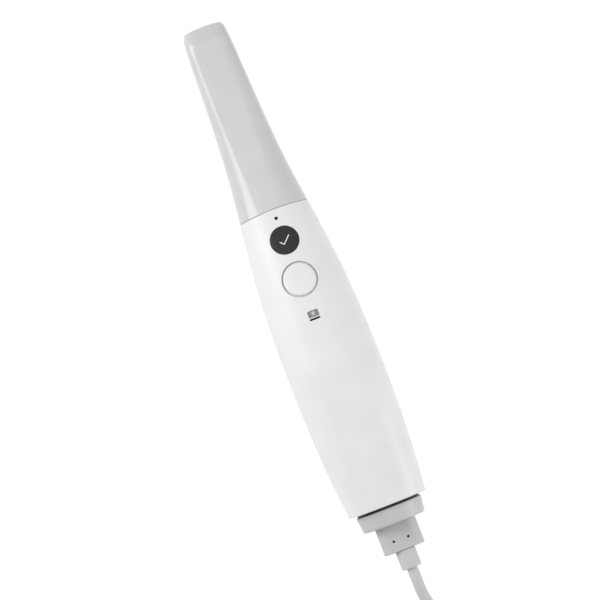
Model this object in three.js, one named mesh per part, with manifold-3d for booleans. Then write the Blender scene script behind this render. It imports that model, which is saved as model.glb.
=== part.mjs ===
// A wired intraoral camera (a dental scanner handpiece), lying on its back with the buttons up.
// Millimetres, +Z up, +Y towards the mirror tip. Along the handpiece, places are given as stations:
// the distance back from the far end of the tip, so a piece at station s lies at y = -s in its group.
import * as THREE from "three";
import { mergeVertices } from "three/addons/utils/BufferGeometryUtils.js";
import Module from "manifold-3d";

const wasm = await Module();
wasm.setup();

// ---- Driving dimensions -------------------------------------------------------------------------

// Outside of the handpiece
const TIP_LENGTH = 91;
const TIP_END_WIDTH = 22.2;
const TIP_END_HEIGHT = 15.9;
const SEAM_WIDTH = 33.2;
const SEAM_HEIGHT = 27.4;
const SEAM_DIP = 1.4; // how much further back the seam runs at the sides
const BODY_LENGTH = 147;
const BODY_WIDTH = 44.3;
const BODY_HEIGHT = 47.8;
const REAR_WIDTH = 37.8;
const REAR_HEIGHT = 36.4;
const BELLY_FLAT = 0.35; // depth of the flat that it rests on

// Walls and fits
const TIP_WALL = 1.6;
const COVER_WALL = 2.2;
const FIT = 0.3; // between pieces that seat on each other
const CLOSE_FIT = 0.12; // round a lens or a pin in its own hole
const PARTING_GAP = 0.1;

// Mirror tip
const SCAN_WINDOW_WIDTH = 15;
const SCAN_WINDOW_LENGTH = 13;
const SCAN_WINDOW_STATION = 11.4;
const MIRROR_THICKNESS = 1.1;
const MIRROR_STATION = 10.4; // where the mirror's face crosses the axis
const MIRROR_LEDGE = 1.6;

// Nose, which the tip slides over
const NOSE_LENGTH = 34;
const NOSE_CLEARANCE = 0.4;
const NOSE_WALL = 1.6;
const NOSE_ROOT = 8; // length clamped between the covers
const FLANGE_THICKNESS = 2;
const FLANGE_INSET = 1.7;
const GLASS_THICKNESS = 1.6;
const GLASS_RIM = 0.9;
const GLASS_SEAL = 0.45;
const SEAL_RING_WIDTH = 1.7;
const SEAL_RING_BACK = 6; // from the seam
const SEAL_RING_DEPTH = 0.8;

// Controls on the top, as distances behind the seam
const DOT_BACK = 4.7;
const DOT_RADIUS = 0.72;
const DISPLAY_BACK = 15.5;
const DISPLAY_RADIUS = 6.85;
const DISPLAY_THICKNESS = 1.2;
const DISPLAY_LEDGE = 1.2;
const BUTTON_BACK = 34.8;
const BUTTON_RADIUS = 7.65;
const BUTTON_GROOVE = 0.75;
const BUTTON_PROUD = 0.35;
const BUTTON_TRAVEL = 0.6;
const BUTTON_FLANGE = 0.8;
const BUTTON_FLANGE_LIP = 0.6; // beyond the groove
const BUTTON_FLANGE_GAP = 0.375; // from the flange up to the cover's inside
const BUTTON_PLAY = 0.05; // between the button and the plunger
const BADGE_BACK = 51.9;
const BADGE_WIDTH = 4.9;
const BADGE_LENGTH = 3;
const BADGE_THICKNESS = 0.5;
const BAR_BACK = 54.4;
const BAR_LENGTH = 0.75;

// Button board, in the tilted frame of the button
const BOARD_THICKNESS = 1;
const BUTTON_BOARD_WIDTH = 16;
const BUTTON_BOARD_AHEAD = 24; // from the button's axis
const BUTTON_BOARD_BEHIND = 26;
const SWITCH_SIZE = 6;
const SWITCH_HEIGHT = 2;
const PLUNGER_STAND = 0.2; // what the plunger still stands up when pressed
const PLUNGER_RADIUS = 1.7;
const LIGHT_BOX_RADIUS = 5.4;
const LIGHT_BOX_WALL = 0.8;
const LED_SIZE = 1.6;
const LED_HEIGHT = 0.6;
const BOARD_POST_RADIUS = 1.8;
const BOARD_POST_ACROSS = 6;
const BOARD_POST_GAP = 1.034; // from the front posts to the button's flange
const BOARD_POST_BEHIND = 23.5; // behind the button's axis

// Optical bench and what it carries
const BENCH_WIDTH = 22;
const BENCH_THICKNESS = 2.5;
const BENCH_TOP = -5.8;
const BENCH_FAN_GAP = 5; // from the bench's rear end to the fan
const LENS_BLOCK_LENGTH = 8;
const LENS_BLOCK_WIDTH = 26.4;
const LENS_BLOCK_HEIGHT = 11.2;
const CAMERA_RADIUS = 3.6;
const CAMERA_OFFSET = 8.4;
const CAMERA_LENGTH = 12;
const PROJECTOR_RADIUS = 4;
const PROJECTOR_LENGTH = 19;
const SENSOR_BOARD_SIZE = 9;
const ENGINE_WIDTH = 15;
const ENGINE_LENGTH = 22;
const ENGINE_HEIGHT = 11;
const UV_BOARD_WIDTH = 12;
const UV_BOARD_HEIGHT = 9;
const UV_LAMP_SIZE = 3.6;
const UV_LAMP_HEIGHT = 1.4;
const SINK_WIDTH = 20;
const SINK_LENGTH = 38;
const SINK_BASE = 2;
const SINK_FIN_HEIGHT = 9;
const SINK_FIN = 1.2;
const SINK_FINS = 6;
const MAIN_BOARD_WIDTH = 18;
const MAIN_BOARD_LENGTH = 70;
const MAIN_BOARD_DROP = 3.6; // below the bench
const CHIP_SIZE = 13;
const CHIP_HEIGHT = 1.3;
const BENCH_BOSS_RADIUS = 2.6;
const BENCH_SCREW_ACROSS = 8;

// Fan
const FAN_AHEAD = 28; // from the covers' rear end to the front of the fan
const FAN_LENGTH = 9;
const FAN_RADIUS = 15.5;
const FAN_RING_WALL = 1.9;
const FAN_HUB_RADIUS = 5;
const FAN_BLADES = 7;
const FAN_TIP_GAP = 0.5;
const FAN_SHAFT_RADIUS = 1;
const FAN_BEARING_RADIUS = 2.4;
const PARTITION_THICKNESS = 3;

// Rear collar and the socket in it
const VENT_GAP = 1.3; // between the covers and the collar
const COLLAR_LENGTH = 7.8;
const NECK_CLEARANCE_ACROSS = 1.5; // from the neck to the covers' rear opening, at each side
const COLLAR_TAPER = 0.9; // at each side, from the collar's front to its rear
const NECK_CLEARANCE_ABOVE = 1.4; // the same above and below
const COLLAR_WALL = 2;
const NECK_STEP = 0.8; // the neck is this much inside the collar
const NECK_LENGTH = 10; // inside the covers
const NECK_FLANGE = 2.4;
const VENT_NOTCHES = 8;
const VENT_NOTCH_RADIUS = 3;
const SOCKET_WIDTH = 13.6;
const SOCKET_HEIGHT = 7.8;
const SOCKET_DEPTH = 11;
const SOCKET_WALL = 1.4;
const SOCKET_BOARD_SIZE = 17;

// Cable plug, pulled straight back out of the collar
const PLUG_WIDTH = 19.8;
const PLUG_HEIGHT = 10.8;
const PLUG_LENGTH = 13.1;
const PLUG_WALL = 1.4;
const TONGUE_LENGTH = 8.6;
const TONGUE_ROOT = 3;
const TONGUE_CLEARANCE = 0.3;
const PLUG_SCREW_SPACING = 7.2;
const PLUG_SCREW_RADIUS = 0.6;
const PLUG_SCREW_BACK = 7.9; // behind the plug's front face
const RELIEF_RADIUS = 4.8;
const RELIEF_LENGTH = 9.2;
const RELIEF_NECK_RADIUS = 3.2;

// Cable, its hank and the plug at its far end
const CORD_DIAMETER = 5.3;
const HANK_START = 52; // from the strain relief back to the middle of the near fold
const HANK_RUN = 101; // length of the straight runs
const HANK_FOLD = 16.2; // from the hank's middle line to its inner runs
const HANK_COLUMNS = 3;
const HANK_LAYERS = 2;
const TIE_WIDTH = 10;
const TIE_THICKNESS = 0.6;
const HUB_PLUG_WIDTH = 12;
const HUB_PLUG_HEIGHT = 7;
const HUB_PLUG_LENGTH = 24;
const HUB_SHELL_WIDTH = 8.3;
const HUB_SHELL_HEIGHT = 2.5;
const HUB_SHELL_LENGTH = 6.6;
const HUB_SHELL_WALL = 0.4;
const HUB_SHELL_SEAT = 2;

// ---- Places worked out from them ----------------------------------------------------------------

const SEAM = TIP_LENGTH;
const BODY_END = SEAM + BODY_LENGTH;
const COLLAR_START = BODY_END + VENT_GAP;
const COLLAR_END = COLLAR_START + COLLAR_LENGTH;
const PLUG_START = COLLAR_END + 0.15;
const PLUG_END = PLUG_START + PLUG_LENGTH;
const RELIEF_END = PLUG_END + RELIEF_LENGTH;
const NOSE_START = SEAM - NOSE_LENGTH;
const NOSE_END = SEAM + NOSE_ROOT;
const BENCH_START = NOSE_END + FIT;
const FAN_START = BODY_END - FAN_AHEAD;
const FAN_END = FAN_START + FAN_LENGTH;
const BENCH_END = FAN_START - BENCH_FAN_GAP;
const BENCH_BOTTOM = BENCH_TOP - BENCH_THICKNESS;
const AXIS_HEIGHT = BODY_HEIGHT / 2 - BELLY_FLAT;

// ---- Materials ----------------------------------------------------------------------------------

const finish = (color, roughness, metalness = 0, opacity = 1) =>
  new THREE.MeshStandardMaterial({ color, roughness, metalness, opacity, transparent: opacity < 1 });

const materials = {
  whiteShell: finish(0xf0f0ef, 0.4),
  greyTip: finish(0xcfcfce, 0.35),
  greyCollar: finish(0xc4c4c4, 0.45),
  darkWindow: finish(0x333333, 0.15),
  blackMark: finish(0x111111, 0.4),
  greyBadge: finish(0x8c8c8c, 0.5),
  glass: finish(0xdfe8ea, 0.05, 0, 0.35),
  mirror: finish(0xe8ecee, 0.02, 1),
  aluminium: finish(0xb8babc, 0.4, 0.9),
  steel: finish(0xa4a6a8, 0.3, 1),
  blackPlastic: finish(0x1c1c1d, 0.5),
  circuitBoard: finish(0x17553a, 0.55),
  silicone: finish(0x9a9a9a, 0.7),
  cableJacket: finish(0xcacaca, 0.5),
  brass: finish(0xc9a35c, 0.3, 1),
};

// ---- Solids: three.js shapes, joined and cut with manifold-3d ------------------------------------

function solid(geometry) {
  const bare = geometry.clone();
  bare.deleteAttribute("normal");
  bare.deleteAttribute("uv");
  const merged = mergeVertices(bare, 1e-4);
  return new wasm.Manifold(
    new wasm.Mesh({
      numProp: 3,
      vertProperties: merged.attributes.position.array,
      triVerts: new Uint32Array(merged.index.array),
    }),
  );
}

function geometryOf(made) {
  const { numProp, vertProperties, triVerts } = made.getMesh();
  const corners = new Float32Array((vertProperties.length / numProp) * 3);
  for (let i = 0; i < corners.length / 3; i++)
    corners.set(vertProperties.subarray(i * numProp, i * numProp + 3), i * 3);
  const geometry = new THREE.BufferGeometry();
  geometry.setAttribute("position", new THREE.BufferAttribute(corners, 3));
  geometry.setIndex(new THREE.BufferAttribute(triVerts, 1));
  geometry.computeVertexNormals();
  return geometry;
}

const box = (across, along, high, x, y, z) =>
  solid(new THREE.BoxGeometry(across, along, high).translate(x, y, z));

// A round bar along Y, Z or X, centred on x, y, z.
function bar(axis, radius, length, x, y, z, sides = 20) {
  const shape = new THREE.CylinderGeometry(radius, radius, length, sides);
  if (axis === "z") shape.rotateX(Math.PI / 2);
  if (axis === "x") shape.rotateZ(Math.PI / 2);
  return solid(shape.translate(x, y, z));
}

// A rectangle with round corners, centred on 0, 0.
function roundRectangle(width, height, radius, Kind = THREE.Shape) {
  const [w, h] = [width / 2, height / 2];
  const outline = new Kind();
  outline.moveTo(-w + radius, -h);
  outline.lineTo(w - radius, -h);
  outline.absarc(w - radius, -h + radius, radius, -Math.PI / 2, 0);
  outline.lineTo(w, h - radius);
  outline.absarc(w - radius, h - radius, radius, 0, Math.PI / 2);
  outline.lineTo(-w + radius, h);
  outline.absarc(-w + radius, h - radius, radius, Math.PI / 2, Math.PI);
  outline.lineTo(-w, -h + radius);
  outline.absarc(-w + radius, -h + radius, radius, Math.PI, Math.PI * 1.5);
  return outline;
}

const CORNER_STEPS = 4;

// An outline in X and Z, run along Y from station front to station back.
function alongHandpiece(outline, front, back, curveSegments = CORNER_STEPS) {
  const shape = new THREE.ExtrudeGeometry(outline, { depth: back - front, bevelEnabled: false, curveSegments });
  return solid(shape.rotateX(Math.PI / 2).translate(0, -front, 0));
}

// An outline in X and Y, standing from z = low to z = high.
function upright(outline, low, high, curveSegments = CORNER_STEPS) {
  const shape = new THREE.ExtrudeGeometry(outline, { depth: high - low, bevelEnabled: false, curveSegments });
  return solid(shape.translate(0, 0, low));
}

// A smooth curve through [station, value] points, to be read at any station.
function curveThrough(points) {
  const slope = points.map((_, i) => {
    const [a, b] = [points[Math.max(i - 1, 0)], points[Math.min(i + 1, points.length - 1)]];
    return (b[1] - a[1]) / (b[0] - a[0]);
  });
  return (at) => {
    const last = points.length - 2;
    const i = Math.min(last, Math.max(0, points.findIndex((p) => p[0] > at) - 1));
    const k = at >= points[last + 1][0] ? last : i;
    const span = points[k + 1][0] - points[k][0];
    const t = (at - points[k][0]) / span;
    const ease = t * t * (3 - 2 * t);
    const value = points[k][1] * (1 - ease) + points[k + 1][1] * ease;
    return value + span * t * (1 - t) * ((1 - t) * slope[k] - t * slope[k + 1]);
  };
}

// ---- The outside of the handpiece ----------------------------------------------------------------

// Points between two values, each at a share of the way along and a share of the way between them.
const between = (start, end, low, high, shares) =>
  shares.map(([along, rise]) => [start + (end - start) * along, low + (high - low) * rise]);

const WIDEST = SEAM + BODY_LENGTH * 0.56;
const TIP_FLARE = [[0.396, 0.174], [0.637, 0.385], [0.824, 0.642], [1, 1]];
const BODY_SWELL = [[0.285, 0.52], [0.55, 0.85], [0.82, 0.985], [1, 1]];
const BODY_TAPER = [[0.39, 0.11], [0.73, 0.5], [1, 1]];

// Half the width or height along the whole handpiece. ending shapes the first few millimetres of the tip.
const outlineCurve = (ending, tip, seam, body, rear) =>
  curveThrough([
    ...ending.map(([station, share]) => [station, (share * tip) / 2]),
    ...between(0, SEAM, tip / 2, seam / 2, TIP_FLARE),
    ...between(SEAM, WIDEST, seam / 2, body / 2, BODY_SWELL),
    ...between(WIDEST, BODY_END, body / 2, rear / 2, BODY_TAPER),
  ]);

const PLAN_END = [[0, 0.6], [0.5, 0.74], [1.5, 0.85], [3, 0.915], [6, 0.955], [14, 1]];
const TOP_END = [[0, -0.13], [0.5, 0.13], [1.5, 0.4], [3, 0.63], [6, 0.87], [9, 0.96], [14, 1]];
const UNDER_END = [[0, 0.58], [0.5, 0.74], [1.5, 0.88], [3, 0.955], [6, 0.99], [14, 1]];

const halfWidth = outlineCurve(PLAN_END, TIP_END_WIDTH, SEAM_WIDTH, BODY_WIDTH, REAR_WIDTH);
const topEdge = outlineCurve(TOP_END, TIP_END_HEIGHT, SEAM_HEIGHT, BODY_HEIGHT, REAR_HEIGHT);
const underEdge = outlineCurve(UNDER_END, TIP_END_HEIGHT, SEAM_HEIGHT, BODY_HEIGHT, REAR_HEIGHT);

// How square the section is: 2 is an ellipse, and more is nearer to a rectangle.
const SQUARENESS = [[0, 3.4], [10, 3.8], [TIP_LENGTH * 0.65, 2.7], [SEAM, 2.35], [BODY_END, 2.35]];
const squareness = curveThrough(SQUARENESS);

const SECTION_SIDES = 32;

// The section's edge at a station, in a direction round the axis, moved in by inset.
function edgePoint(station, direction, inset) {
  const top = topEdge(station) - inset;
  const under = -(underEdge(station) - inset);
  const [wide, high, middle] = [halfWidth(station) - inset, (top - under) / 2, (top + under) / 2];
  const power = squareness(station);
  const [c, s] = [Math.cos(direction), Math.sin(direction)];
  const reach = (Math.abs(c / wide) ** power + Math.abs(s / high) ** power) ** (-1 / power);
  return { x: reach * c, z: middle + reach * s, middle };
}

// The handpiece's outside, moved in by inset, as a solid between its first and last station:
// a lathed bar of radius 1, of which each ring is stretched to the section at its station.
function body(stations, inset) {
  const rings = [...stations].reverse().map((station) => new THREE.Vector2(1, -station));
  const profile = [new THREE.Vector2(0, rings[0].y), ...rings, new THREE.Vector2(0, rings.at(-1).y)];
  const shape = new THREE.LatheGeometry(profile, SECTION_SIDES);
  const corner = shape.attributes.position;
  for (let i = 0; i < corner.count; i++) {
    const [x, y, z] = [corner.getX(i), corner.getY(i), corner.getZ(i)];
    const onEdge = Math.hypot(x, z) > 0.5 ? 1 : 0;
    const edge = edgePoint(-y, Math.atan2(z, x), inset);
    corner.setXYZ(i, onEdge * edge.x, y, edge.middle + onEdge * (edge.z - edge.middle));
  }
  return solid(shape);
}

const stationsBetween = (from, to, shares) => shares.map((share) => from + (to - from) * share);
const EVEN = (count) => Array.from({ length: count + 1 }, (_, i) => i / count);
const TIP_STATIONS = [0, 0.5, 1.5, 3, 6, 10, ...stationsBetween(14, SEAM + 3, EVEN(5))];
const BODY_STATIONS = [SEAM - 1, ...stationsBetween(SEAM + 5, BODY_END, EVEN(9))];

// A slice of the outside, moved in by inset, between two stations.
const slice = (front, back, inset, steps = 1) => body(stationsBetween(front, back, EVEN(steps)), inset);

// What lies behind the seam (side -1) or ahead of it (side 1), shifted back by offset. From the side
// the seam is an arc, which runs SEAM_DIP further back at the axis than at the top and the underside.
function seamCutter(side, offset) {
  const reach = SEAM_HEIGHT / 2 + 1;
  const start = -SEAM - offset;
  const far = start + side * (BODY_LENGTH + TIP_LENGTH);
  const outline = new THREE.Shape();
  outline.moveTo(-reach * 3, far);
  outline.lineTo(-reach * 3, start);
  outline.lineTo(-reach, start);
  outline.quadraticCurveTo(0, start - 2 * SEAM_DIP, reach, start);
  outline.lineTo(reach * 3, start);
  outline.lineTo(reach * 3, far);
  const shape = new THREE.ExtrudeGeometry(outline, { depth: BODY_WIDTH * 2, bevelEnabled: false, curveSegments: 8 });
  const sideways = new THREE.Matrix4().makeBasis(
    new THREE.Vector3(0, 0, 1),
    new THREE.Vector3(0, 1, 0),
    new THREE.Vector3(-1, 0, 0),
  );
  return solid(shape.applyMatrix4(sideways).translate(BODY_WIDTH, 0, 0));
}

// ---- Groups and nodes ----------------------------------------------------------------------------

const camera = new THREE.Group();
const handpiece = new THREE.Group();
handpiece.position.set(0, RELIEF_END / 2, AXIS_HEIGHT);
camera.add(handpiece);

function add(group, name, geometry, material) {
  const mesh = new THREE.Mesh(geometry.isBufferGeometry ? geometry : geometryOf(geometry), material);
  mesh.name = name;
  group.add(mesh);
  return mesh;
}

const place = (mesh, x, y, z) => mesh.position.set(x, y, z);

// A screw with its head's underside at 0 and its shank hanging down.
function screw(headRadius, headHeight, shankRadius, shankLength) {
  const profile = [
    [0, -shankLength],
    [shankRadius, -shankLength],
    [shankRadius, 0],
    [headRadius, 0],
    [headRadius, headHeight],
    [0, headHeight],
  ].map(([x, y]) => new THREE.Vector2(x, y));
  return new THREE.LatheGeometry(profile, 10).rotateX(Math.PI / 2);
}

// ---- Mirror tip ----------------------------------------------------------------------------------

// A slab of the mirror's tilt, whose face lies depth behind the reflecting face.
function mirrorSlab(width, thickness, depth) {
  const slab = new THREE.BoxGeometry(width, TIP_END_HEIGHT * 2, thickness);
  slab.translate(0, 0, thickness / 2 + depth);
  return solid(slab.rotateX(-Math.PI / 4).translate(0, -MIRROR_STATION, 0));
}

const tipInside = (inset) => body([inset + TIP_WALL / 2, ...TIP_STATIONS.slice(4)], inset);

function tipSleeve() {
  const window = upright(roundRectangle(SCAN_WINDOW_WIDTH, SCAN_WINDOW_LENGTH, 2), -TIP_END_HEIGHT, 0);
  const ledges = mirrorSlab(TIP_END_WIDTH * 2, MIRROR_LEDGE, MIRROR_THICKNESS + CLOSE_FIT)
    .intersect(tipInside(TIP_WALL / 2))
    .subtract(box(SCAN_WINDOW_WIDTH, TIP_LENGTH, TIP_END_HEIGHT * 2, 0, 0, 0));
  return body(TIP_STATIONS, 0)
    .subtract(tipInside(TIP_WALL))
    .subtract(window.translate([0, -SCAN_WINDOW_STATION, 0]))
    .subtract(seamCutter(-1, 0))
    .add(ledges);
}

function addTip() {
  add(handpiece, "tip_sleeve", tipSleeve(), materials.greyTip);
  const mirror = mirrorSlab(TIP_END_WIDTH, MIRROR_THICKNESS, 0).intersect(tipInside(TIP_WALL + FIT));
  add(handpiece, "tip_mirror", mirror, materials.mirror);
}

// ---- Nose and front glass ------------------------------------------------------------------------

const NOSE_INSET = TIP_WALL + NOSE_CLEARANCE;
const ROOT_INSET = COVER_WALL + FIT;
const NOSE_STEP = SEAM - 0.5; // where the nose steps in from the tip's bore to the covers' bore
const FLANGE_START = SEAM + 4;
const GLASS_SEAT = NOSE_INSET + GLASS_RIM;
const SEAL_START = NOSE_START + GLASS_THICKNESS + 0.1;

function nose() {
  const ringStart = SEAM - SEAL_RING_BACK;
  const groove = slice(ringStart, ringStart + SEAL_RING_WIDTH, 0)
    .subtract(slice(ringStart - 1, ringStart + SEAL_RING_WIDTH + 1, NOSE_INSET + SEAL_RING_DEPTH));
  return slice(NOSE_START, NOSE_STEP, NOSE_INSET, 3)
    .add(slice(NOSE_STEP - 0.01, NOSE_END, ROOT_INSET))
    .add(slice(FLANGE_START, FLANGE_START + FLANGE_THICKNESS, FLANGE_INSET))
    .subtract(slice(NOSE_START - 1, SEAL_START + GLASS_SEAL, GLASS_SEAT))
    .subtract(slice(NOSE_START, NOSE_END + 1, ROOT_INSET + NOSE_WALL, 3))
    .subtract(groove);
}

function addNose() {
  const ringStart = SEAM - SEAL_RING_BACK;
  const ring = slice(ringStart + 0.15, ringStart + SEAL_RING_WIDTH - 0.15, TIP_WALL + FIT)
    .subtract(slice(ringStart - 1, ringStart + SEAL_RING_WIDTH + 1, NOSE_INSET + SEAL_RING_DEPTH - 0.1));
  const glass = slice(NOSE_START + 0.05, NOSE_START + GLASS_THICKNESS, GLASS_SEAT + CLOSE_FIT);
  const seal = slice(SEAL_START, SEAL_START + GLASS_SEAL - 0.1, GLASS_SEAT + CLOSE_FIT)
    .subtract(slice(NOSE_START, NOSE_END, ROOT_INSET + NOSE_WALL));
  add(handpiece, "optic_nose", nose(), materials.blackPlastic);
  add(handpiece, "nose_window", glass, materials.glass);
  add(handpiece, "nose_window_seal", seal, materials.silicone);
  add(handpiece, "nose_seal_ring", ring, materials.silicone);
}

// ---- Covers and the controls in them --------------------------------------------------------------

const BUTTON_STATION = SEAM + BUTTON_BACK;
const DECK_TILT = Math.atan(topEdge(BUTTON_STATION + 0.5) - topEdge(BUTTON_STATION - 0.5));

// The frame of a control: its origin is on the outer surface and its Z is the button's own axis.
const controlFrame = (back) =>
  new THREE.Matrix4().makeRotationX(-DECK_TILT).setPosition(0, -(SEAM + back), topEdge(SEAM + back));

const onControl = (back, made) => made.transform(controlFrame(back).elements);

// A round bar through the top wall at a control, from depth below the surface to well above it.
const drill = (back, radius, depth, sides = 32) =>
  onControl(back, bar("z", radius, depth + 4, 0, 0, 2 - depth / 2, sides));

// How far below a control's origin the cover's inside comes down, on a circle round its axis.
function roofDepth(back, radius) {
  const reach = BODY_HEIGHT / 3;
  const ring = drill(back, radius, reach).subtract(drill(back, radius - 0.01, reach + 1));
  const above = ring.subtract(body(BODY_STATIONS, COVER_WALL));
  return -above.transform(controlFrame(back).invert().elements).boundingBox().min[2];
}

const FLANGE_RADIUS = BUTTON_RADIUS + BUTTON_GROOVE + BUTTON_FLANGE_LIP;
const FLANGE_TOP = -roofDepth(BUTTON_BACK, FLANGE_RADIUS) - BUTTON_FLANGE_GAP;
const BUTTON_UNDER = FLANGE_TOP - BUTTON_FLANGE;
const PLUNGER_TOP = BUTTON_UNDER - BUTTON_PLAY;
const SWITCH_TOP = PLUNGER_TOP - BUTTON_TRAVEL - PLUNGER_STAND;
const BOARD_DEPTH = SWITCH_HEIGHT - SWITCH_TOP; // from the outer surface to the board's face
const POST_REACH = FLANGE_RADIUS + BOARD_POST_GAP + BOARD_POST_RADIUS;
const BOARD_POST_AHEAD = Math.sqrt(POST_REACH ** 2 - BOARD_POST_ACROSS ** 2);
const BOARD_POSTS = [
  [-BOARD_POST_ACROSS, BOARD_POST_AHEAD],
  [BOARD_POST_ACROSS, BOARD_POST_AHEAD],
  [0, -BOARD_POST_BEHIND],
];

const punch = (back, outline, depth) => onControl(back, upright(outline, -depth, 4));

// The part of the outer wall between two depths, close to the controls.
const skin = (outer, inner) =>
  slice(SEAM, SEAM + BUTTON_BACK * 2, outer, 8).subtract(slice(SEAM - 1, SEAM + BUTTON_BACK * 2 + 1, inner, 8));

const badgeOutline = (grow) => roundRectangle(BADGE_WIDTH + grow * 2, BADGE_LENGTH + grow * 2, 0.4);
const barOutline = (grow) => roundRectangle(BADGE_WIDTH + grow * 2, BAR_LENGTH + grow * 2, 0.3);

const PARTITION_START = FAN_START + (FAN_LENGTH - PARTITION_THICKNESS) / 2;

// Both covers in one: the wall, a groove for the nose's flange, and the partition that holds the fan.
function coverShell() {
  const groove = slice(FLANGE_START - FIT, FLANGE_START + FLANGE_THICKNESS + FIT, FLANGE_INSET - FIT);
  const partition = slice(PARTITION_START, PARTITION_START + PARTITION_THICKNESS, COVER_WALL / 2)
    .subtract(bar("y", FAN_RADIUS + FIT, BODY_LENGTH, 0, -FAN_START, 0, 32));
  return body(BODY_STATIONS, 0)
    .subtract(body([...BODY_STATIONS, BODY_END + 1], COVER_WALL))
    .subtract(groove)
    .subtract(seamCutter(1, FIT))
    .add(partition);
}

// Everything between two stations.
const band = (front, back) => box(BODY_WIDTH * 2, back - front, BODY_HEIGHT * 2, 0, -(front + back) / 2, 0);

const half = (side) =>
  box(BODY_WIDTH * 2, BODY_END * 2, BODY_HEIGHT, 0, -BODY_END, side * (BODY_HEIGHT + PARTING_GAP) / 2);

function upperCover(shell) {
  let cover = shell.intersect(half(1));
  for (const [across, ahead] of BOARD_POSTS) {
    const post = bar("z", BOARD_POST_RADIUS, BOARD_DEPTH, across, ahead, -BOARD_DEPTH / 2 + 0.05, 12);
    const bore = bar("z", 0.8, 5, across, ahead, -BOARD_DEPTH + 2, 10);
    cover = cover.add(onControl(BUTTON_BACK, post).intersect(slice(SEAM, BODY_END, COVER_WALL / 2, 10)));
    cover = cover.subtract(onControl(BUTTON_BACK, bore));
  }
  const recess = (hole, depth) => hole.subtract(slice(SEAM - 5, BODY_END, depth, 14));
  return cover
    .subtract(drill(DOT_BACK, DOT_RADIUS + CLOSE_FIT, 1.3, 12))
    .subtract(recess(drill(DISPLAY_BACK, DISPLAY_RADIUS + CLOSE_FIT, 6), DISPLAY_THICKNESS + CLOSE_FIT))
    .subtract(drill(DISPLAY_BACK, DISPLAY_RADIUS - DISPLAY_LEDGE, BOARD_DEPTH))
    .subtract(drill(BUTTON_BACK, BUTTON_RADIUS + BUTTON_GROOVE, BOARD_DEPTH / 2))
    .subtract(recess(punch(BADGE_BACK, badgeOutline(CLOSE_FIT), 3), BADGE_THICKNESS + CLOSE_FIT))
    .subtract(punch(BAR_BACK, barOutline(CLOSE_FIT), BOARD_DEPTH / 2));
}

const BENCH_SCREW_STATIONS = [BENCH_START + 17, BENCH_END - 5];
const benchScrews = BENCH_SCREW_STATIONS.flatMap((station) =>
  [-1, 1].map((side) => [side * BENCH_SCREW_ACROSS, station]),
);

function lowerCover(shell) {
  let cover = shell.intersect(half(-1));
  const depth = BODY_HEIGHT / 2;
  for (const [x, station] of benchScrews) {
    const boss = bar("z", BENCH_BOSS_RADIUS, depth, x, -station, BENCH_BOTTOM - 0.05 - depth / 2, 12);
    cover = cover.add(boss.intersect(slice(SEAM, BODY_END, COVER_WALL / 2, 10)));
    cover = cover.subtract(bar("z", 0.95, 6, x, -station, BENCH_BOTTOM - 2, 10));
  }
  return cover.subtract(box(BODY_WIDTH, BODY_END * 2, BODY_HEIGHT, 0, -BODY_END, -AXIS_HEIGHT - BODY_HEIGHT / 2));
}

function addCovers() {
  const shell = coverShell();
  add(handpiece, "upper_cover", upperCover(shell), materials.whiteShell);
  add(handpiece, "lower_cover", lowerCover(shell), materials.whiteShell);
  const dot = drill(DOT_BACK, DOT_RADIUS, 1.2, 12).intersect(slice(SEAM, SEAM + 10, 0, 2));
  const display = skin(0, DISPLAY_THICKNESS).intersect(drill(DISPLAY_BACK, DISPLAY_RADIUS, 6));
  const badge = skin(0, BADGE_THICKNESS).intersect(punch(BADGE_BACK, badgeOutline(0), 3));
  const lightBar = punch(BAR_BACK, barOutline(0), COVER_WALL + 1).intersect(slice(SEAM, BODY_END, 0, 14));
  add(handpiece, "power_dot", dot, materials.blackMark);
  add(handpiece, "display_window", display, materials.darkWindow);
  add(handpiece, "uv_badge", badge, materials.greyBadge);
  add(handpiece, "uv_light_bar", lightBar, materials.blackMark);
}

// ---- Button and its board, in the button's tilted frame ------------------------------------------

const deck = new THREE.Group();
deck.position.set(0, -BUTTON_STATION, topEdge(BUTTON_STATION));
deck.rotation.x = -DECK_TILT;
handpiece.add(deck);

function scanButton() {
  const outside = slice(SEAM, SEAM + BUTTON_BACK * 2, -BUTTON_PROUD, 8);
  const cap = drill(BUTTON_BACK, BUTTON_RADIUS, 4).intersect(outside);
  const level = cap.transform(controlFrame(BUTTON_BACK).invert().elements);
  const stem = bar("z", BUTTON_RADIUS, -2 - FLANGE_TOP, 0, 0, (-2 + FLANGE_TOP) / 2, 32);
  const flange = bar("z", FLANGE_RADIUS, BUTTON_FLANGE, 0, 0, BUTTON_UNDER + BUTTON_FLANGE / 2, 32);
  return level.add(stem).add(flange);
}

// A light source of the button board, under the control that lies back from the seam.
function led(back) {
  const seat = new THREE.Vector3(0, 0, 0).applyMatrix4(controlFrame(back));
  seat.applyMatrix4(controlFrame(BUTTON_BACK).invert());
  const shape = new THREE.BoxGeometry(LED_SIZE, LED_SIZE / 2, LED_HEIGHT);
  return shape.translate(0, seat.y, LED_HEIGHT / 2 + 0.05 - BOARD_DEPTH);
}

function lightBox() {
  const seat = new THREE.Vector3(0, 0, 0).applyMatrix4(controlFrame(DISPLAY_BACK));
  seat.applyMatrix4(controlFrame(BUTTON_BACK).invert());
  const floor = 0.05 - BOARD_DEPTH;
  const top = seat.z - DISPLAY_THICKNESS - FIT * 3;
  const tube = (radius, grow) =>
    bar("z", radius, top - floor + grow, 0, seat.y, (top + floor) / 2, 24);
  return tube(LIGHT_BOX_RADIUS, 0).subtract(tube(LIGHT_BOX_RADIUS - LIGHT_BOX_WALL, 2));
}

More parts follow.
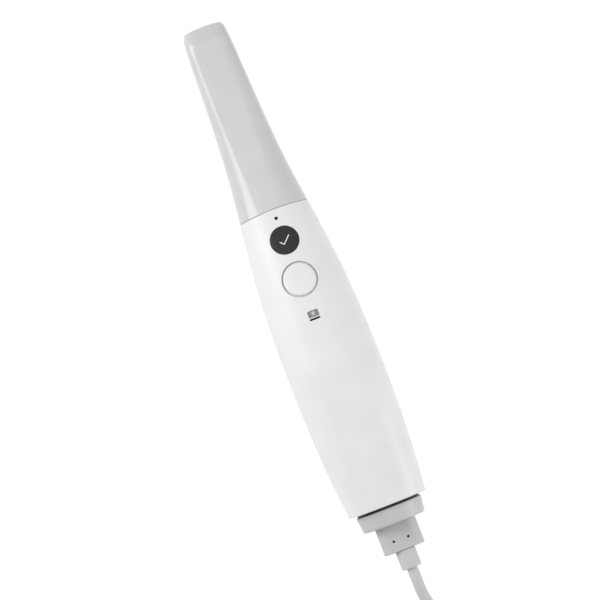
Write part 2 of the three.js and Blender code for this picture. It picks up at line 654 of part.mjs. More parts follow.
function buttonBoard() {
  const length = BUTTON_BOARD_AHEAD + BUTTON_BOARD_BEHIND;
  const middle = (BUTTON_BOARD_AHEAD - BUTTON_BOARD_BEHIND) / 2;
  const outline = roundRectangle(BUTTON_BOARD_WIDTH, length, 1.5);
  let board = upright(outline, -BOARD_DEPTH - BOARD_THICKNESS, -BOARD_DEPTH).translate([0, middle, 0]);
  for (const [across, ahead] of BOARD_POSTS)
    board = board.subtract(bar("z", 1, 4, across, ahead, -BOARD_DEPTH, 10));
  return board;
}

function addButton() {
  const housing = solid(new THREE.BoxGeometry(SWITCH_SIZE, SWITCH_SIZE, SWITCH_HEIGHT - 0.05))
    .translate([0, 0, SWITCH_TOP - SWITCH_HEIGHT / 2 + 0.025])
    .subtract(bar("z", PLUNGER_RADIUS + CLOSE_FIT, 3, 0, 0, SWITCH_TOP + 0.25, 16));
  const plungerLength = PLUNGER_TOP - SWITCH_TOP + 0.3;
  const plunger = bar("z", PLUNGER_RADIUS, plungerLength, 0, 0, PLUNGER_TOP - plungerLength / 2, 16);
  add(deck, "scan_button", scanButton(), materials.whiteShell);
  add(deck, "switch_plunger", plunger, materials.blackPlastic);
  add(deck, "switch_housing", housing, materials.steel);
  add(deck, "button_board", buttonBoard(), materials.circuitBoard);
  add(deck, "display_light_box", lightBox(), materials.whiteShell);
  add(deck, "display_led", led(DISPLAY_BACK), materials.greyBadge);
  add(deck, "uv_indicator_led", led(BAR_BACK), materials.greyBadge);
  BOARD_POSTS.forEach(([across, ahead], i) => {
    const fixing = screw(1.6, 1, 0.65, 3.6).rotateX(Math.PI);
    const mesh = add(deck, `board_screw_${i + 1}`, fixing, materials.steel);
    place(mesh, across, ahead, -BOARD_DEPTH - BOARD_THICKNESS - 0.05);
  });
}

// ---- Optical bench, cameras, projector and boards -------------------------------------------------

const LENS_BLOCK_START = BENCH_START + 2;
const CAMERA_START = LENS_BLOCK_START - 1.5;
const SENSOR_START = CAMERA_START + CAMERA_LENGTH + FIT;
const ENGINE_START = CAMERA_START + PROJECTOR_LENGTH + FIT;
const UV_BOARD_START = ENGINE_START + ENGINE_LENGTH + 4;
const SINK_START = UV_BOARD_START + 6;
const MAIN_BOARD_START = BENCH_START + 24;
const MAIN_BOARD_TOP = BENCH_BOTTOM - MAIN_BOARD_DROP;
const ON_BENCH = BENCH_TOP + 0.05;

// A block standing on the bench, from station front back by length.
const onBench = (width, length, height, front, x = 0) =>
  new THREE.BoxGeometry(width, length, height).translate(x, -front - length / 2, ON_BENCH + height / 2);

const barrel = (radius, front, length, x) =>
  new THREE.CylinderGeometry(radius, radius, length, 20).translate(x, -front - length / 2, 0);

function addBench() {
  const length = BENCH_END - BENCH_START;
  const middle = -BENCH_START - length / 2;
  let bench = box(BENCH_WIDTH, length, BENCH_THICKNESS, 0, middle, BENCH_TOP - BENCH_THICKNESS / 2);
  for (const [x, station] of benchScrews) {
    bench = bench.subtract(bar("z", 1.1, 9, x, -station, BENCH_TOP, 10));
  }
  add(handpiece, "optical_bench", bench, materials.aluminium);
  benchScrews.forEach(([x, station], i) => {
    const fixing = add(handpiece, `bench_screw_${i + 1}`, screw(2, 1.6, 0.85, 6), materials.steel);
    place(fixing, x, -station, ON_BENCH);
  });
}

function addOptics() {
  const block = solid(onBench(LENS_BLOCK_WIDTH, LENS_BLOCK_LENGTH, LENS_BLOCK_HEIGHT, LENS_BLOCK_START))
    .subtract(bar("y", PROJECTOR_RADIUS + CLOSE_FIT, 40, 0, -LENS_BLOCK_START, 0))
    .subtract(bar("y", CAMERA_RADIUS + CLOSE_FIT, 40, -CAMERA_OFFSET, -LENS_BLOCK_START, 0))
    .subtract(bar("y", CAMERA_RADIUS + CLOSE_FIT, 40, CAMERA_OFFSET, -LENS_BLOCK_START, 0));
  add(handpiece, "lens_block", block, materials.aluminium);
  const projector = barrel(PROJECTOR_RADIUS, CAMERA_START, PROJECTOR_LENGTH, 0);
  add(handpiece, "projector_lens", projector, materials.blackPlastic);
  const engine = onBench(ENGINE_WIDTH, ENGINE_LENGTH, ENGINE_HEIGHT, ENGINE_START);
  add(handpiece, "projector_engine", engine, materials.blackPlastic);
  for (const [side, name] of [[-1, "left"], [1, "right"]]) {
    const x = side * CAMERA_OFFSET;
    const lens = barrel(CAMERA_RADIUS, CAMERA_START, CAMERA_LENGTH, x);
    add(handpiece, `camera_lens_${name}`, lens, materials.blackPlastic);
    const board = onBench(SENSOR_BOARD_SIZE - 1.2, 1.2, SENSOR_BOARD_SIZE, SENSOR_START, x);
    add(handpiece, `camera_sensor_${name}`, board, materials.circuitBoard);
  }
}

function heatSink() {
  const outline = new THREE.Shape();
  const w = SINK_WIDTH / 2;
  const pitch = (SINK_WIDTH - SINK_FIN) / (SINK_FINS - 1);
  outline.moveTo(-w, 0);
  outline.lineTo(w, 0);
  for (let i = SINK_FINS - 1; i >= 0; i--) {
    const left = -w + i * pitch;
    if (i < SINK_FINS - 1) outline.lineTo(left + SINK_FIN, SINK_BASE);
    outline.lineTo(left + SINK_FIN, SINK_BASE + SINK_FIN_HEIGHT);
    outline.lineTo(left, SINK_BASE + SINK_FIN_HEIGHT);
    if (i > 0) outline.lineTo(left, SINK_BASE);
  }
  const shape = new THREE.ExtrudeGeometry(outline, { depth: SINK_LENGTH, bevelEnabled: false });
  return shape.rotateX(Math.PI / 2).translate(0, -SINK_START, ON_BENCH);
}

function addElectronics() {
  const lampHigh = ON_BENCH + UV_BOARD_HEIGHT / 2;
  const lampBoard = onBench(UV_BOARD_WIDTH, 1.2, UV_BOARD_HEIGHT, UV_BOARD_START);
  add(handpiece, "uv_lamp_board", lampBoard, materials.circuitBoard);
  const lamp = new THREE.BoxGeometry(UV_LAMP_SIZE, UV_LAMP_HEIGHT, UV_LAMP_SIZE);
  place(add(handpiece, "uv_lamp", lamp, materials.glass), 0, -UV_BOARD_START + UV_LAMP_HEIGHT / 2 + 0.05, lampHigh);
  add(handpiece, "heat_sink", heatSink(), materials.aluminium);
  const middle = -MAIN_BOARD_START - MAIN_BOARD_LENGTH / 2;
  const board = new THREE.BoxGeometry(MAIN_BOARD_WIDTH, MAIN_BOARD_LENGTH, 1.6);
  place(add(handpiece, "main_board", board, materials.circuitBoard), 0, middle, MAIN_BOARD_TOP - 0.8);
  const chip = new THREE.BoxGeometry(CHIP_SIZE, CHIP_SIZE, CHIP_HEIGHT);
  const processor = add(handpiece, "processor", chip, materials.blackPlastic);
  place(processor, 0, middle, MAIN_BOARD_TOP + 0.05 + CHIP_HEIGHT / 2);
  for (const [along, name] of [[1, "front"], [-1, "rear"]]) {
    const spacer = new THREE.CylinderGeometry(1.8, 1.8, MAIN_BOARD_DROP - 0.1, 8).rotateX(Math.PI / 2);
    const y = middle + along * (MAIN_BOARD_LENGTH / 2 - 3);
    const mesh = add(handpiece, `board_spacer_${name}`, spacer, materials.brass);
    place(mesh, 0, y, MAIN_BOARD_TOP + MAIN_BOARD_DROP / 2);
  }
}

// ---- Fan -----------------------------------------------------------------------------------------

const FAN_BORE = FAN_RADIUS - FAN_RING_WALL;
const SPIDER_LENGTH = 2.6;
const SPIDER_START = FAN_END - SPIDER_LENGTH;
const ROTOR_LENGTH = FAN_LENGTH - SPIDER_LENGTH - 0.8;

function fanHousing() {
  const middle = -(FAN_START + FAN_END) / 2;
  const bore = bar("y", FAN_BORE, FAN_LENGTH + 2, 0, middle, 0, 32);
  let frame = bar("y", FAN_RADIUS, FAN_LENGTH, 0, middle, 0, 32).subtract(bore);
  const spider = -(SPIDER_START + FAN_END) / 2;
  for (let i = 0; i < 3; i++) {
    const arm = new THREE.BoxGeometry(FAN_BORE + 0.6 - FAN_BEARING_RADIUS, SPIDER_LENGTH, 1.6);
    arm.translate((FAN_BORE + 0.6 + FAN_BEARING_RADIUS) / 2, spider, 0).rotateY((i * Math.PI * 2) / 3 + Math.PI / 2);
    frame = frame.add(solid(arm));
  }
  return frame
    .add(bar("y", FAN_HUB_RADIUS, SPIDER_LENGTH, 0, spider, 0, 20))
    .subtract(bar("y", FAN_BEARING_RADIUS + 0.1, FAN_LENGTH, 0, spider, 0, 16));
}

function fanRotor() {
  const middle = -(FAN_START + 0.3 + ROTOR_LENGTH / 2);
  let rotor = bar("y", FAN_HUB_RADIUS, ROTOR_LENGTH, 0, middle, 0, 20);
  const inner = FAN_HUB_RADIUS - 0.5;
  const outer = FAN_BORE - FAN_TIP_GAP;
  for (let i = 0; i < FAN_BLADES; i++) {
    const blade = new THREE.BoxGeometry(outer - inner, ROTOR_LENGTH * 1.05, 0.8).rotateX(Math.PI / 5);
    blade.translate((outer + inner) / 2, middle, 0).rotateY((i * Math.PI * 2) / FAN_BLADES);
    rotor = rotor.add(solid(blade));
  }
  return rotor.subtract(bar("y", FAN_SHAFT_RADIUS + 0.05, FAN_LENGTH * 2, 0, middle, 0, 12));
}

function addFan() {
  const spider = -(SPIDER_START + FAN_END) / 2;
  const bearing = bar("y", FAN_BEARING_RADIUS, SPIDER_LENGTH, 0, spider, 0, 16)
    .subtract(bar("y", FAN_SHAFT_RADIUS + 0.15, FAN_LENGTH, 0, spider, 0, 12));
  const shaft = new THREE.CylinderGeometry(FAN_SHAFT_RADIUS, FAN_SHAFT_RADIUS, FAN_LENGTH - 0.6, 12);
  add(handpiece, "fan_housing", fanHousing(), materials.blackPlastic);
  add(handpiece, "fan_rotor", fanRotor(), materials.blackPlastic);
  add(handpiece, "fan_bearing", bearing, materials.brass);
  place(add(handpiece, "fan_shaft", shaft, materials.steel), 0, -(FAN_START + FAN_END) / 2, 0);
}

// ---- Rear collar and socket ----------------------------------------------------------------------

// A round-sided block along the handpiece whose width and height change from front to back.
function tapered(front, back, widths, heights, sides = SECTION_SIDES) {
  const shape = new THREE.CylinderGeometry(0.5, 0.5, back - front, sides).translate(0, -(front + back) / 2, 0);
  const corner = shape.attributes.position;
  for (let i = 0; i < corner.count; i++) {
    const share = (-corner.getY(i) - front) / (back - front);
    const [wide, high] = [widths, heights].map(([a, b]) => a + (b - a) * share);
    corner.setXYZ(i, corner.getX(i) * wide, corner.getY(i), corner.getZ(i) * high);
  }
  return solid(shape);
}

const NECK_WIDTH = REAR_WIDTH - 2 * COVER_WALL - 2 * NECK_CLEARANCE_ACROSS;
const NECK_HEIGHT = REAR_HEIGHT - 2 * COVER_WALL - 2 * NECK_CLEARANCE_ABOVE;
const NECK_START = BODY_END - NECK_LENGTH;
const SOCKET_FRONT = COLLAR_END - COLLAR_WALL - FIT - SOCKET_DEPTH;
const MOUTH_WIDTH = SOCKET_WIDTH - 2 * SOCKET_WALL;
const MOUTH_HEIGHT = SOCKET_HEIGHT - 2 * SOCKET_WALL;
const mouth = (grow = 0) => roundRectangle(MOUTH_WIDTH + grow, MOUTH_HEIGHT + grow, (MOUTH_HEIGHT + grow) * 0.4);

function rearCollar() {
  const neck = [NECK_WIDTH, NECK_WIDTH];
  const tall = [NECK_HEIGHT, NECK_HEIGHT];
  const bore = [NECK_WIDTH - 2 * COLLAR_WALL, NECK_WIDTH - 2 * COLLAR_WALL];
  const boreTall = [NECK_HEIGHT - 2 * COLLAR_WALL, NECK_HEIGHT - 2 * COLLAR_WALL];
  const widths = [NECK_WIDTH + 2 * NECK_STEP, NECK_WIDTH + 2 * NECK_STEP - 2 * COLLAR_TAPER];
  const heights = [NECK_HEIGHT + 2 * NECK_STEP, NECK_HEIGHT + 2 * NECK_STEP - 2 * COLLAR_TAPER];
  let collar = tapered(COLLAR_START, COLLAR_END, widths, heights)
    .add(tapered(NECK_START, COLLAR_START + 1, neck, tall))
    .add(body(BODY_STATIONS, COVER_WALL + FIT).intersect(band(NECK_START, NECK_START + NECK_FLANGE)));
  for (let i = 0; i < VENT_NOTCHES; i++) {
    const turn = ((i + 0.5) * Math.PI * 2) / VENT_NOTCHES;
    const reach = NECK_WIDTH / 2 + VENT_NOTCH_RADIUS;
    const [x, z] = [Math.cos(turn) * reach, Math.sin(turn) * reach];
    collar = collar.subtract(bar("y", VENT_NOTCH_RADIUS, NECK_FLANGE * 2, x, -NECK_START, z, 16));
  }
  return collar
    .subtract(tapered(NECK_START - 1, COLLAR_END - COLLAR_WALL, bore, boreTall))
    .subtract(alongHandpiece(mouth(), COLLAR_START, COLLAR_END + 1));
}

function addCollar() {
  add(handpiece, "rear_collar", rearCollar(), materials.greyCollar);
  const outline = roundRectangle(SOCKET_WIDTH, SOCKET_HEIGHT, 1);
  const socket = alongHandpiece(outline, SOCKET_FRONT, SOCKET_FRONT + SOCKET_DEPTH, 2)
    .subtract(alongHandpiece(mouth(), SOCKET_FRONT + 1.5, COLLAR_END));
  add(handpiece, "cable_socket", socket, materials.blackPlastic);
  const board = new THREE.BoxGeometry(SOCKET_BOARD_SIZE, 1.2, SOCKET_BOARD_SIZE - 2);
  place(add(handpiece, "socket_board", board, materials.circuitBoard), 0, -SOCKET_FRONT + 0.7, 0);
}

// ---- Cable plug and strain relief ----------------------------------------------------------------

const TONGUE_WIDTH = MOUTH_WIDTH - 2 * TONGUE_CLEARANCE;
const TONGUE_HEIGHT = MOUTH_HEIGHT - 2 * TONGUE_CLEARANCE;
const plugOutline = (inset) =>
  roundRectangle(PLUG_WIDTH - 2 * inset, PLUG_HEIGHT - 2 * inset, PLUG_HEIGHT * 0.42 - inset);

function plugShell() {
  const face = PLUG_HEIGHT / 2;
  let shell = alongHandpiece(plugOutline(0), PLUG_START, PLUG_END)
    .subtract(alongHandpiece(plugOutline(PLUG_WALL), PLUG_START + PLUG_WALL, PLUG_END - PLUG_WALL))
    .subtract(alongHandpiece(mouth(), PLUG_START - 1, PLUG_START + PLUG_WALL + 1))
    .subtract(bar("y", RELIEF_NECK_RADIUS + CLOSE_FIT, 4, 0, -PLUG_END, 0));
  for (const side of [-1, 1]) {
    const x = (side * PLUG_SCREW_SPACING) / 2;
    shell = shell.subtract(bar("z", PLUG_SCREW_RADIUS + 0.05, 4, x, -PLUG_START - PLUG_SCREW_BACK, face, 12));
  }
  return shell;
}

function strainRelief() {
  const inside = PLUG_HEIGHT / 2 - PLUG_WALL - 0.2;
  return bar("y", RELIEF_RADIUS, RELIEF_LENGTH - 0.1, 0, -(PLUG_END + RELIEF_END + 0.1) / 2, 0, 24)
    .add(bar("y", RELIEF_NECK_RADIUS, 4, 0, -PLUG_END + 0.5, 0, 16))
    .add(bar("y", inside, 1.5, 0, -PLUG_END + PLUG_WALL + 0.95, 0, 16));
}

function addPlug() {
  add(handpiece, "plug_shell", plugShell(), materials.greyCollar);
  const outline = roundRectangle(TONGUE_WIDTH, TONGUE_HEIGHT, TONGUE_HEIGHT * 0.35);
  const tongue = alongHandpiece(outline, PLUG_START - TONGUE_LENGTH, PLUG_START + TONGUE_ROOT);
  add(handpiece, "plug_tongue", tongue, materials.blackPlastic);
  for (const [side, name] of [[-1, "left"], [1, "right"]]) {
    const [radius, length] = [PLUG_SCREW_RADIUS, PLUG_WALL - 0.3];
    const pin = new THREE.CylinderGeometry(radius, radius, length, 12).rotateX(Math.PI / 2);
    const fixing = add(handpiece, `plug_screw_${name}`, pin, materials.blackMark);
    const high = PLUG_HEIGHT / 2 - PLUG_WALL / 2 - 0.05;
    place(fixing, (side * PLUG_SCREW_SPACING) / 2, -PLUG_START - PLUG_SCREW_BACK, high);
  }
  add(handpiece, "strain_relief", strainRelief(), materials.cableJacket);
}

// ---- Cable, folded into a hank behind the handpiece ------------------------------------------------
// Here the origin is on the floor below the strain relief's end, and -Y still runs back.

const cable = new THREE.Group();
cable.position.y = -RELIEF_END / 2;
camera.add(cable);

const HANK_TOP = HANK_LAYERS * CORD_DIAMETER;
const HANK_INSIDE = HANK_FOLD - CORD_DIAMETER / 2;
const HANK_OUTSIDE = HANK_INSIDE + HANK_COLUMNS * CORD_DIAMETER;
const HANK_MIDDLE = HANK_START + HANK_RUN / 2;
const TIE_SPACE = TIE_THICKNESS + FIT;

// Points of the stretches that aren't in the hank: across, back and up.
const LEAD_ROUTE = [
  [0, 0, AXIS_HEIGHT],
  [0, 6, AXIS_HEIGHT],
  [0.1, 12, 23.2],
  [1.1, 18, 22],
  [3, 24, 20.1],
  [5.4, 30, 17.6],
  [7.9, 36, 15],
  [9.3, 39.4, 13.7],
];
const TAIL_ROUTE = [
  [10.3, 76, 3.4],
  [8.7, 82, 3.5],
  [6.2, 90, 3.5],
  [4.5, 98, 3.5],
  [4, 104, 3.5],
  [4, 109.5, 3.5],
];

// A plain tube along a route, which stops short by the given lengths at its two ends.
function tube(route, startGap, endGap) {
  const points = route.map(([across, back, up]) => new THREE.Vector3(across, -back, up));
  const trim = (end, next, gap) => end.add(next.clone().sub(end).setLength(gap));
  trim(points[0], points[1], startGap);
  trim(points.at(-1), points.at(-2), endGap);
  const section = new THREE.Shape().absarc(0, 0, CORD_DIAMETER / 2, 0, Math.PI * 2);
  const path = new THREE.CatmullRomCurve3(points, false, "centripetal");
  const steps = Math.ceil(path.getLength() / (CORD_DIAMETER * 1.2));
  return new THREE.ExtrudeGeometry(section, { steps, bevelEnabled: false, extrudePath: path, curveSegments: 5 });
}

// The outline of a hank seen from above: two straight runs with a round fold at each end.
function hankOutline(radius, Kind = THREE.Shape) {
  const outline = new Kind();
  outline.moveTo(radius, -HANK_START - HANK_RUN);
  outline.lineTo(radius, -HANK_START);
  outline.absarc(0, -HANK_START, radius, 0, Math.PI);
  outline.lineTo(-radius, -HANK_START - HANK_RUN);
  outline.absarc(0, -HANK_START - HANK_RUN, radius, Math.PI, Math.PI * 2);
  return outline;
}

function addCable() {
  const hank = hankOutline(HANK_OUTSIDE);
  hank.holes.push(hankOutline(HANK_INSIDE, THREE.Path));
  const underTie = box(HANK_OUTSIDE * 3, TIE_WIDTH + 2 * FIT, TIE_SPACE * 2, 0, -HANK_MIDDLE, 0);
  add(cable, "cord_lead", tube(LEAD_ROUTE, FIT, 0), materials.cableJacket);
  add(cable, "cord_hank", upright(hank, 0, HANK_TOP, 12).subtract(underTie), materials.cableJacket);
  add(cable, "cord_tail", tube(TAIL_ROUTE, 0, FIT), materials.cableJacket);
}

function addTie() {
  const width = 2 * (HANK_OUTSIDE + TIE_SPACE);
  const height = HANK_TOP + 2 * TIE_SPACE + TIE_SPACE;
  const outline = roundRectangle(width, height, TIE_SPACE);
  const inside = roundRectangle(width - 2 * TIE_THICKNESS, height - 2 * TIE_THICKNESS, FIT, THREE.Path);
  outline.holes.push(inside);
  const depth = TIE_WIDTH;
  const strap = new THREE.ExtrudeGeometry(outline, { depth, bevelEnabled: false, curveSegments: CORNER_STEPS });
  strap.rotateX(Math.PI / 2);
  place(add(cable, "cord_tie", strap, materials.blackPlastic), 0, -HANK_MIDDLE + TIE_WIDTH / 2, height / 2);
}

// The plug for the computer's hub, which lies in the eye of the hank.
function addHubPlug() {
  const [x, , z] = TAIL_ROUTE.at(-1);
  const start = TAIL_ROUTE.at(-1)[1];
  const body = roundRectangle(HUB_PLUG_WIDTH, HUB_PLUG_HEIGHT, HUB_PLUG_HEIGHT * 0.35);
  const shell = roundRectangle(HUB_SHELL_WIDTH, HUB_SHELL_HEIGHT, HUB_SHELL_HEIGHT * 0.48);
  const wall = HUB_SHELL_WALL * 2;
  const inside = roundRectangle(HUB_SHELL_WIDTH - wall, HUB_SHELL_HEIGHT - wall, (HUB_SHELL_HEIGHT - wall) * 0.46);
  const front = start + HUB_PLUG_LENGTH;
  const seat = alongHandpiece(shell, front - HUB_SHELL_SEAT, front + 1).translate([x, 0, z]);
  const overmould = alongHandpiece(body, start, front).translate([x, 0, z]).subtract(seat);
  const sleeve = alongHandpiece(shell, front + FIT - HUB_SHELL_SEAT, front + HUB_SHELL_LENGTH)
    .subtract(alongHandpiece(inside, front, front + HUB_SHELL_LENGTH + 1));
  add(cable, "hub_plug_body", overmould, materials.greyCollar);
  add(cable, "hub_plug_shell", sleeve.translate([x, 0, z]), materials.steel);
}

addTip();
addNose();
addCovers();
addButton();
addBench();
addOptics();
addElectronics();
addFan();
addCollar();
addPlug();
addCable();
addTie();
addHubPlug();

export default camera;
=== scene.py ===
"""Looks of a wired intraoral camera: smooth shells, materials, lights and the camera.

The handpiece lies along Y with its mirror tip at +Y and its buttons up. Lengths here are in
millimetres until they become vertices. A place along the handpiece is a station: the distance
back from the far end of the tip.
"""

from math import atan, atan2, cos, pi, radians, sin, sqrt

import bmesh
import bpy
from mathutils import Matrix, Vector
from mathutils.geometry import delaunay_2d_cdt


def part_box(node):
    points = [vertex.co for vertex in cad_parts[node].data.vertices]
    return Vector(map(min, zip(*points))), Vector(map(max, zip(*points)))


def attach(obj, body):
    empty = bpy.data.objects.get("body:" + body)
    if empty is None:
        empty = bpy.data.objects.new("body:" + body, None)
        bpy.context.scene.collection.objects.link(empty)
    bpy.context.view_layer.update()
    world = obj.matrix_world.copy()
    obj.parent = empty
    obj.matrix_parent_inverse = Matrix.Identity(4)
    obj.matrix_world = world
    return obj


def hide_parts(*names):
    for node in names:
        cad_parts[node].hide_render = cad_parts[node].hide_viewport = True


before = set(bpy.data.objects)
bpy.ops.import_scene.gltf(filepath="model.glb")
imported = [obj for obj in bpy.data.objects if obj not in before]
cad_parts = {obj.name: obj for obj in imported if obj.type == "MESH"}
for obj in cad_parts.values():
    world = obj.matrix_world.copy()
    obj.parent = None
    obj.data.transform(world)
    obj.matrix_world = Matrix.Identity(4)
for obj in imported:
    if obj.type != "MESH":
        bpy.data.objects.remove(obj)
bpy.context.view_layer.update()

MM = 0.001


def box_mm(node):
    low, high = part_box(node)
    return Vector(low) / MM, Vector(high) / MM


TIP_LOW, TIP_HIGH = box_mm("tip_sleeve")
COVER_LOW, COVER_HIGH = box_mm("upper_cover")
COLLAR_LOW, COLLAR_HIGH = box_mm("rear_collar")
PLUG_LOW, PLUG_HIGH = box_mm("plug_shell")
RELIEF_LOW, RELIEF_HIGH = box_mm("strain_relief")
HANK_LOW, HANK_HIGH = box_mm("cord_hank")
TIE_LOW, TIE_HIGH = box_mm("cord_tie")
HUB_LOW, HUB_HIGH = box_mm("hub_plug_body")
HUB_SHELL_LOW, HUB_SHELL_HIGH = box_mm("hub_plug_shell")

AXIS_HEIGHT = (RELIEF_LOW.z + RELIEF_HIGH.z) / 2
TIP_END = TIP_HIGH.y


def at(x, station, z):
    """A point given across, by station, and above the handpiece's axis, in metres."""
    return Vector((x, TIP_END - station, AXIS_HEIGHT + z)) * MM


def station_of(y):
    return TIP_END - y


# ---- Camera --------------------------------------------------------------------------------------

VIEW_TURN = -21.3
VIEW_MIDDLE = (-3.4, 134.9)  # across, and station
VIEW_WIDTH = 278.7
VIEW_DISTANCE = 3000
SENSOR = 36

camera = bpy.data.objects.new("camera", bpy.data.cameras.new("camera"))
bpy.context.collection.objects.link(camera)
camera.location = at(*VIEW_MIDDLE, VIEW_DISTANCE)
camera.rotation_euler = (0, 0, radians(VIEW_TURN))
camera.data.sensor_width = SENSOR
camera.data.lens = SENSOR * VIEW_DISTANCE / VIEW_WIDTH
camera.data.clip_start = 0.1
camera.data.clip_end = 20
bpy.context.scene.camera = camera
bpy.context.scene.view_settings.view_transform = "Standard"

# ---- Materials -----------------------------------------------------------------------------------


class Shader:
    """A Principled material with the object's own coordinates at hand."""

    def __init__(self, name, roughness, metallic=0.0):
        self.material = bpy.data.materials.new(name)
        self.material.use_nodes = True
        self.tree = self.material.node_tree
        self.surface = self.tree.nodes["Principled BSDF"]
        self.surface.inputs["Roughness"].default_value = roughness
        self.surface.inputs["Metallic"].default_value = metallic
        self.place = self.tree.nodes.new("ShaderNodeTexCoord").outputs["Object"]

    def node(self, kind, **inputs):
        made = self.tree.nodes.new(kind)
        for name, value in inputs.items():
            self.feed(value, made.inputs[name.replace("_", " ")])
        return made

    def feed(self, value, socket):
        if isinstance(value, bpy.types.NodeSocket):
            self.tree.links.new(value, socket)
        else:
            socket.default_value = value

    def noise(self, size, detail=3.0, stretch=(1, 1, 1)):
        """Noise whose features are about size millimetres across."""
        scaled = self.node("ShaderNodeMapping", Vector=self.place, Scale=stretch)
        made = self.node("ShaderNodeTexNoise", Vector=scaled.outputs["Vector"], Scale=1000 / size, Detail=detail)
        return made.outputs["Fac"]

    def ramp(self, fac, low, high, start=0.3, end=0.7):
        made = self.node("ShaderNodeValToRGB", Fac=fac)
        made.color_ramp.elements[0].position = start
        made.color_ramp.elements[1].position = end
        made.color_ramp.elements[0].color = (*low, 1) if len(low) == 3 else low
        made.color_ramp.elements[1].color = (*high, 1) if len(high) == 3 else high
        return made.outputs["Color"]

    def range(self, fac, low, high):
        made = self.node("ShaderNodeMapRange", Value=fac)
        made.inputs["To Min"].default_value = low
        made.inputs["To Max"].default_value = high
        return made.outputs["Result"]

    def bump(self, height, strength, depth_mm):
        made = self.node("ShaderNodeBump", Height=height, Strength=strength, Distance=depth_mm * MM)
        self.feed(made.outputs["Normal"], self.surface.inputs["Normal"])
        return made


def grey(value):
    return (value, value, value)


def plastic(name, colour, roughness, spread=0.03, grain=0.25, depth=0.006, coat=0.0, level=0.5):
    """Moulded plastic: a faint flow mottle, a fine spark-eroded grain and uneven gloss."""
    made = Shader(name, roughness)
    flow = made.noise(22, 2)
    darker = tuple(c * (1 - spread) for c in colour)
    lighter = tuple(min(1.0, c * (1 + spread)) for c in colour)
    made.feed(made.ramp(flow, darker, lighter), made.surface.inputs["Base Color"])
    fine = made.noise(grain, 2)
    made.feed(made.range(flow, roughness * 0.92, roughness * 1.08), made.surface.inputs["Roughness"])
    made.bump(fine, 0.35, depth)
    made.surface.inputs["Specular IOR Level"].default_value = level
    made.surface.inputs["Coat Weight"].default_value = coat
    made.surface.inputs["Coat Roughness"].default_value = 0.1
    return made


def metal(name, colour, roughness, stretch=(1, 1, 1), size=0.4):
    """Machined or drawn metal: tool marks along one direction."""
    made = Shader(name, roughness, 1.0)
    marks = made.noise(size, 3, stretch)
    made.feed(made.ramp(marks, tuple(c * 0.86 for c in colour), colour), made.surface.inputs["Base Color"])
    made.feed(made.range(marks, roughness * 0.8, roughness * 1.25), made.surface.inputs["Roughness"])
    made.bump(marks, 0.3, 0.01)
    return made


def rubber(name, colour, roughness):
    """Soft jacket: matt, a little sheen, fine extrusion lines."""
    made = Shader(name, roughness)
    flow = made.noise(12, 3)
    made.feed(made.ramp(flow, tuple(c * 0.95 for c in colour), colour), made.surface.inputs["Base Color"])
    made.feed(made.range(flow, roughness * 0.9, roughness * 1.1), made.surface.inputs["Roughness"])
    made.surface.inputs["Sheen Weight"].default_value = 0.15
    made.bump(made.noise(0.35, 2), 0.4, 0.01)
    return made


def clear(name, tint, roughness):
    """Coated glass: faint smears change its gloss."""
    made = Shader(name, roughness)
    smear = made.noise(6, 4)
    made.feed(made.range(smear, roughness, roughness + 0.04), made.surface.inputs["Roughness"])
    made.feed(made.ramp(smear, tuple(c * 0.97 for c in tint), tint), made.surface.inputs["Base Color"])
    made.surface.inputs["Transmission Weight"].default_value = 0.92
    made.surface.inputs["IOR"].default_value = 1.5
    return made


def circuit(name):
    """Solder resist over copper: a grid of tracks and pads shows through the green."""
    made = Shader(name, 0.35)
    tracks = made.node("ShaderNodeTexBrick", Vector=made.place, Scale=420.0)
    tracks.inputs["Color1"].default_value = (0.012, 0.14, 0.06, 1)
    tracks.inputs["Color2"].default_value = (0.016, 0.17, 0.075, 1)
    tracks.inputs["Mortar"].default_value = (0.03, 0.28, 0.13, 1)
    tracks.inputs["Mortar Size"].default_value = 0.03
    pads = made.node("ShaderNodeTexVoronoi", Vector=made.place, Scale=520.0)
    mask = made.ramp(pads.outputs["Distance"], grey(1.0), grey(0.0), 0.16, 0.2)
    blend = made.node("ShaderNodeMix")
    blend.data_type = "RGBA"
    made.feed(mask, blend.inputs[0])
    made.feed(tracks.outputs["Color"], blend.inputs[6])
    blend.inputs[7].default_value = (0.75, 0.72, 0.6, 1)
    made.feed(blend.outputs[2], made.surface.inputs["Base Color"])
    made.bump(tracks.outputs["Fac"], 0.3, 0.02)
    return made


white_shell = plastic("white_shell", grey(0.775), 0.42)
button_white = plastic("button_white", grey(0.79), 0.36)
grey_tip = plastic("grey_tip", grey(0.57), 0.3, depth=0.002, coat=0.42)
grey_collar = plastic("grey_collar", grey(0.53), 0.42)
plug_grey = plastic("plug_grey", grey(0.52), 0.45)
dark_window = plastic("dark_window", grey(0.018), 0.3, level=0.25)
window_rim = plastic("window_rim", grey(0.06), 0.3, level=0.3)
black_mark = plastic("black_mark", grey(0.006), 0.4, level=0.2)
check_white = plastic("check_white", grey(0.85), 0.5)
grey_badge = plastic("grey_badge", grey(0.2), 0.45)
black_plastic = plastic("black_plastic", grey(0.02), 0.45, grain=0.4, level=0.3)
shell_inside = plastic("shell_inside", grey(0.32), 0.6)
mirror_glass = metal("mirror_glass", (0.92, 0.94, 0.95), 0.02, (1, 1, 1), 8)
front_glass = clear("front_glass", (0.93, 0.97, 0.98), 0.02)
lamp_glass = clear("lamp_glass", (0.75, 0.72, 0.95), 0.15)
led_resin = plastic("led_resin", (0.72, 0.7, 0.55), 0.25, coat=0.4)
aluminium = metal("aluminium", grey(0.62), 0.32, (1, 0.08, 1))
anodised = metal("anodised", grey(0.32), 0.4, (0.3, 1, 1))
steel = metal("steel", grey(0.55), 0.28, (1, 1, 0.2))
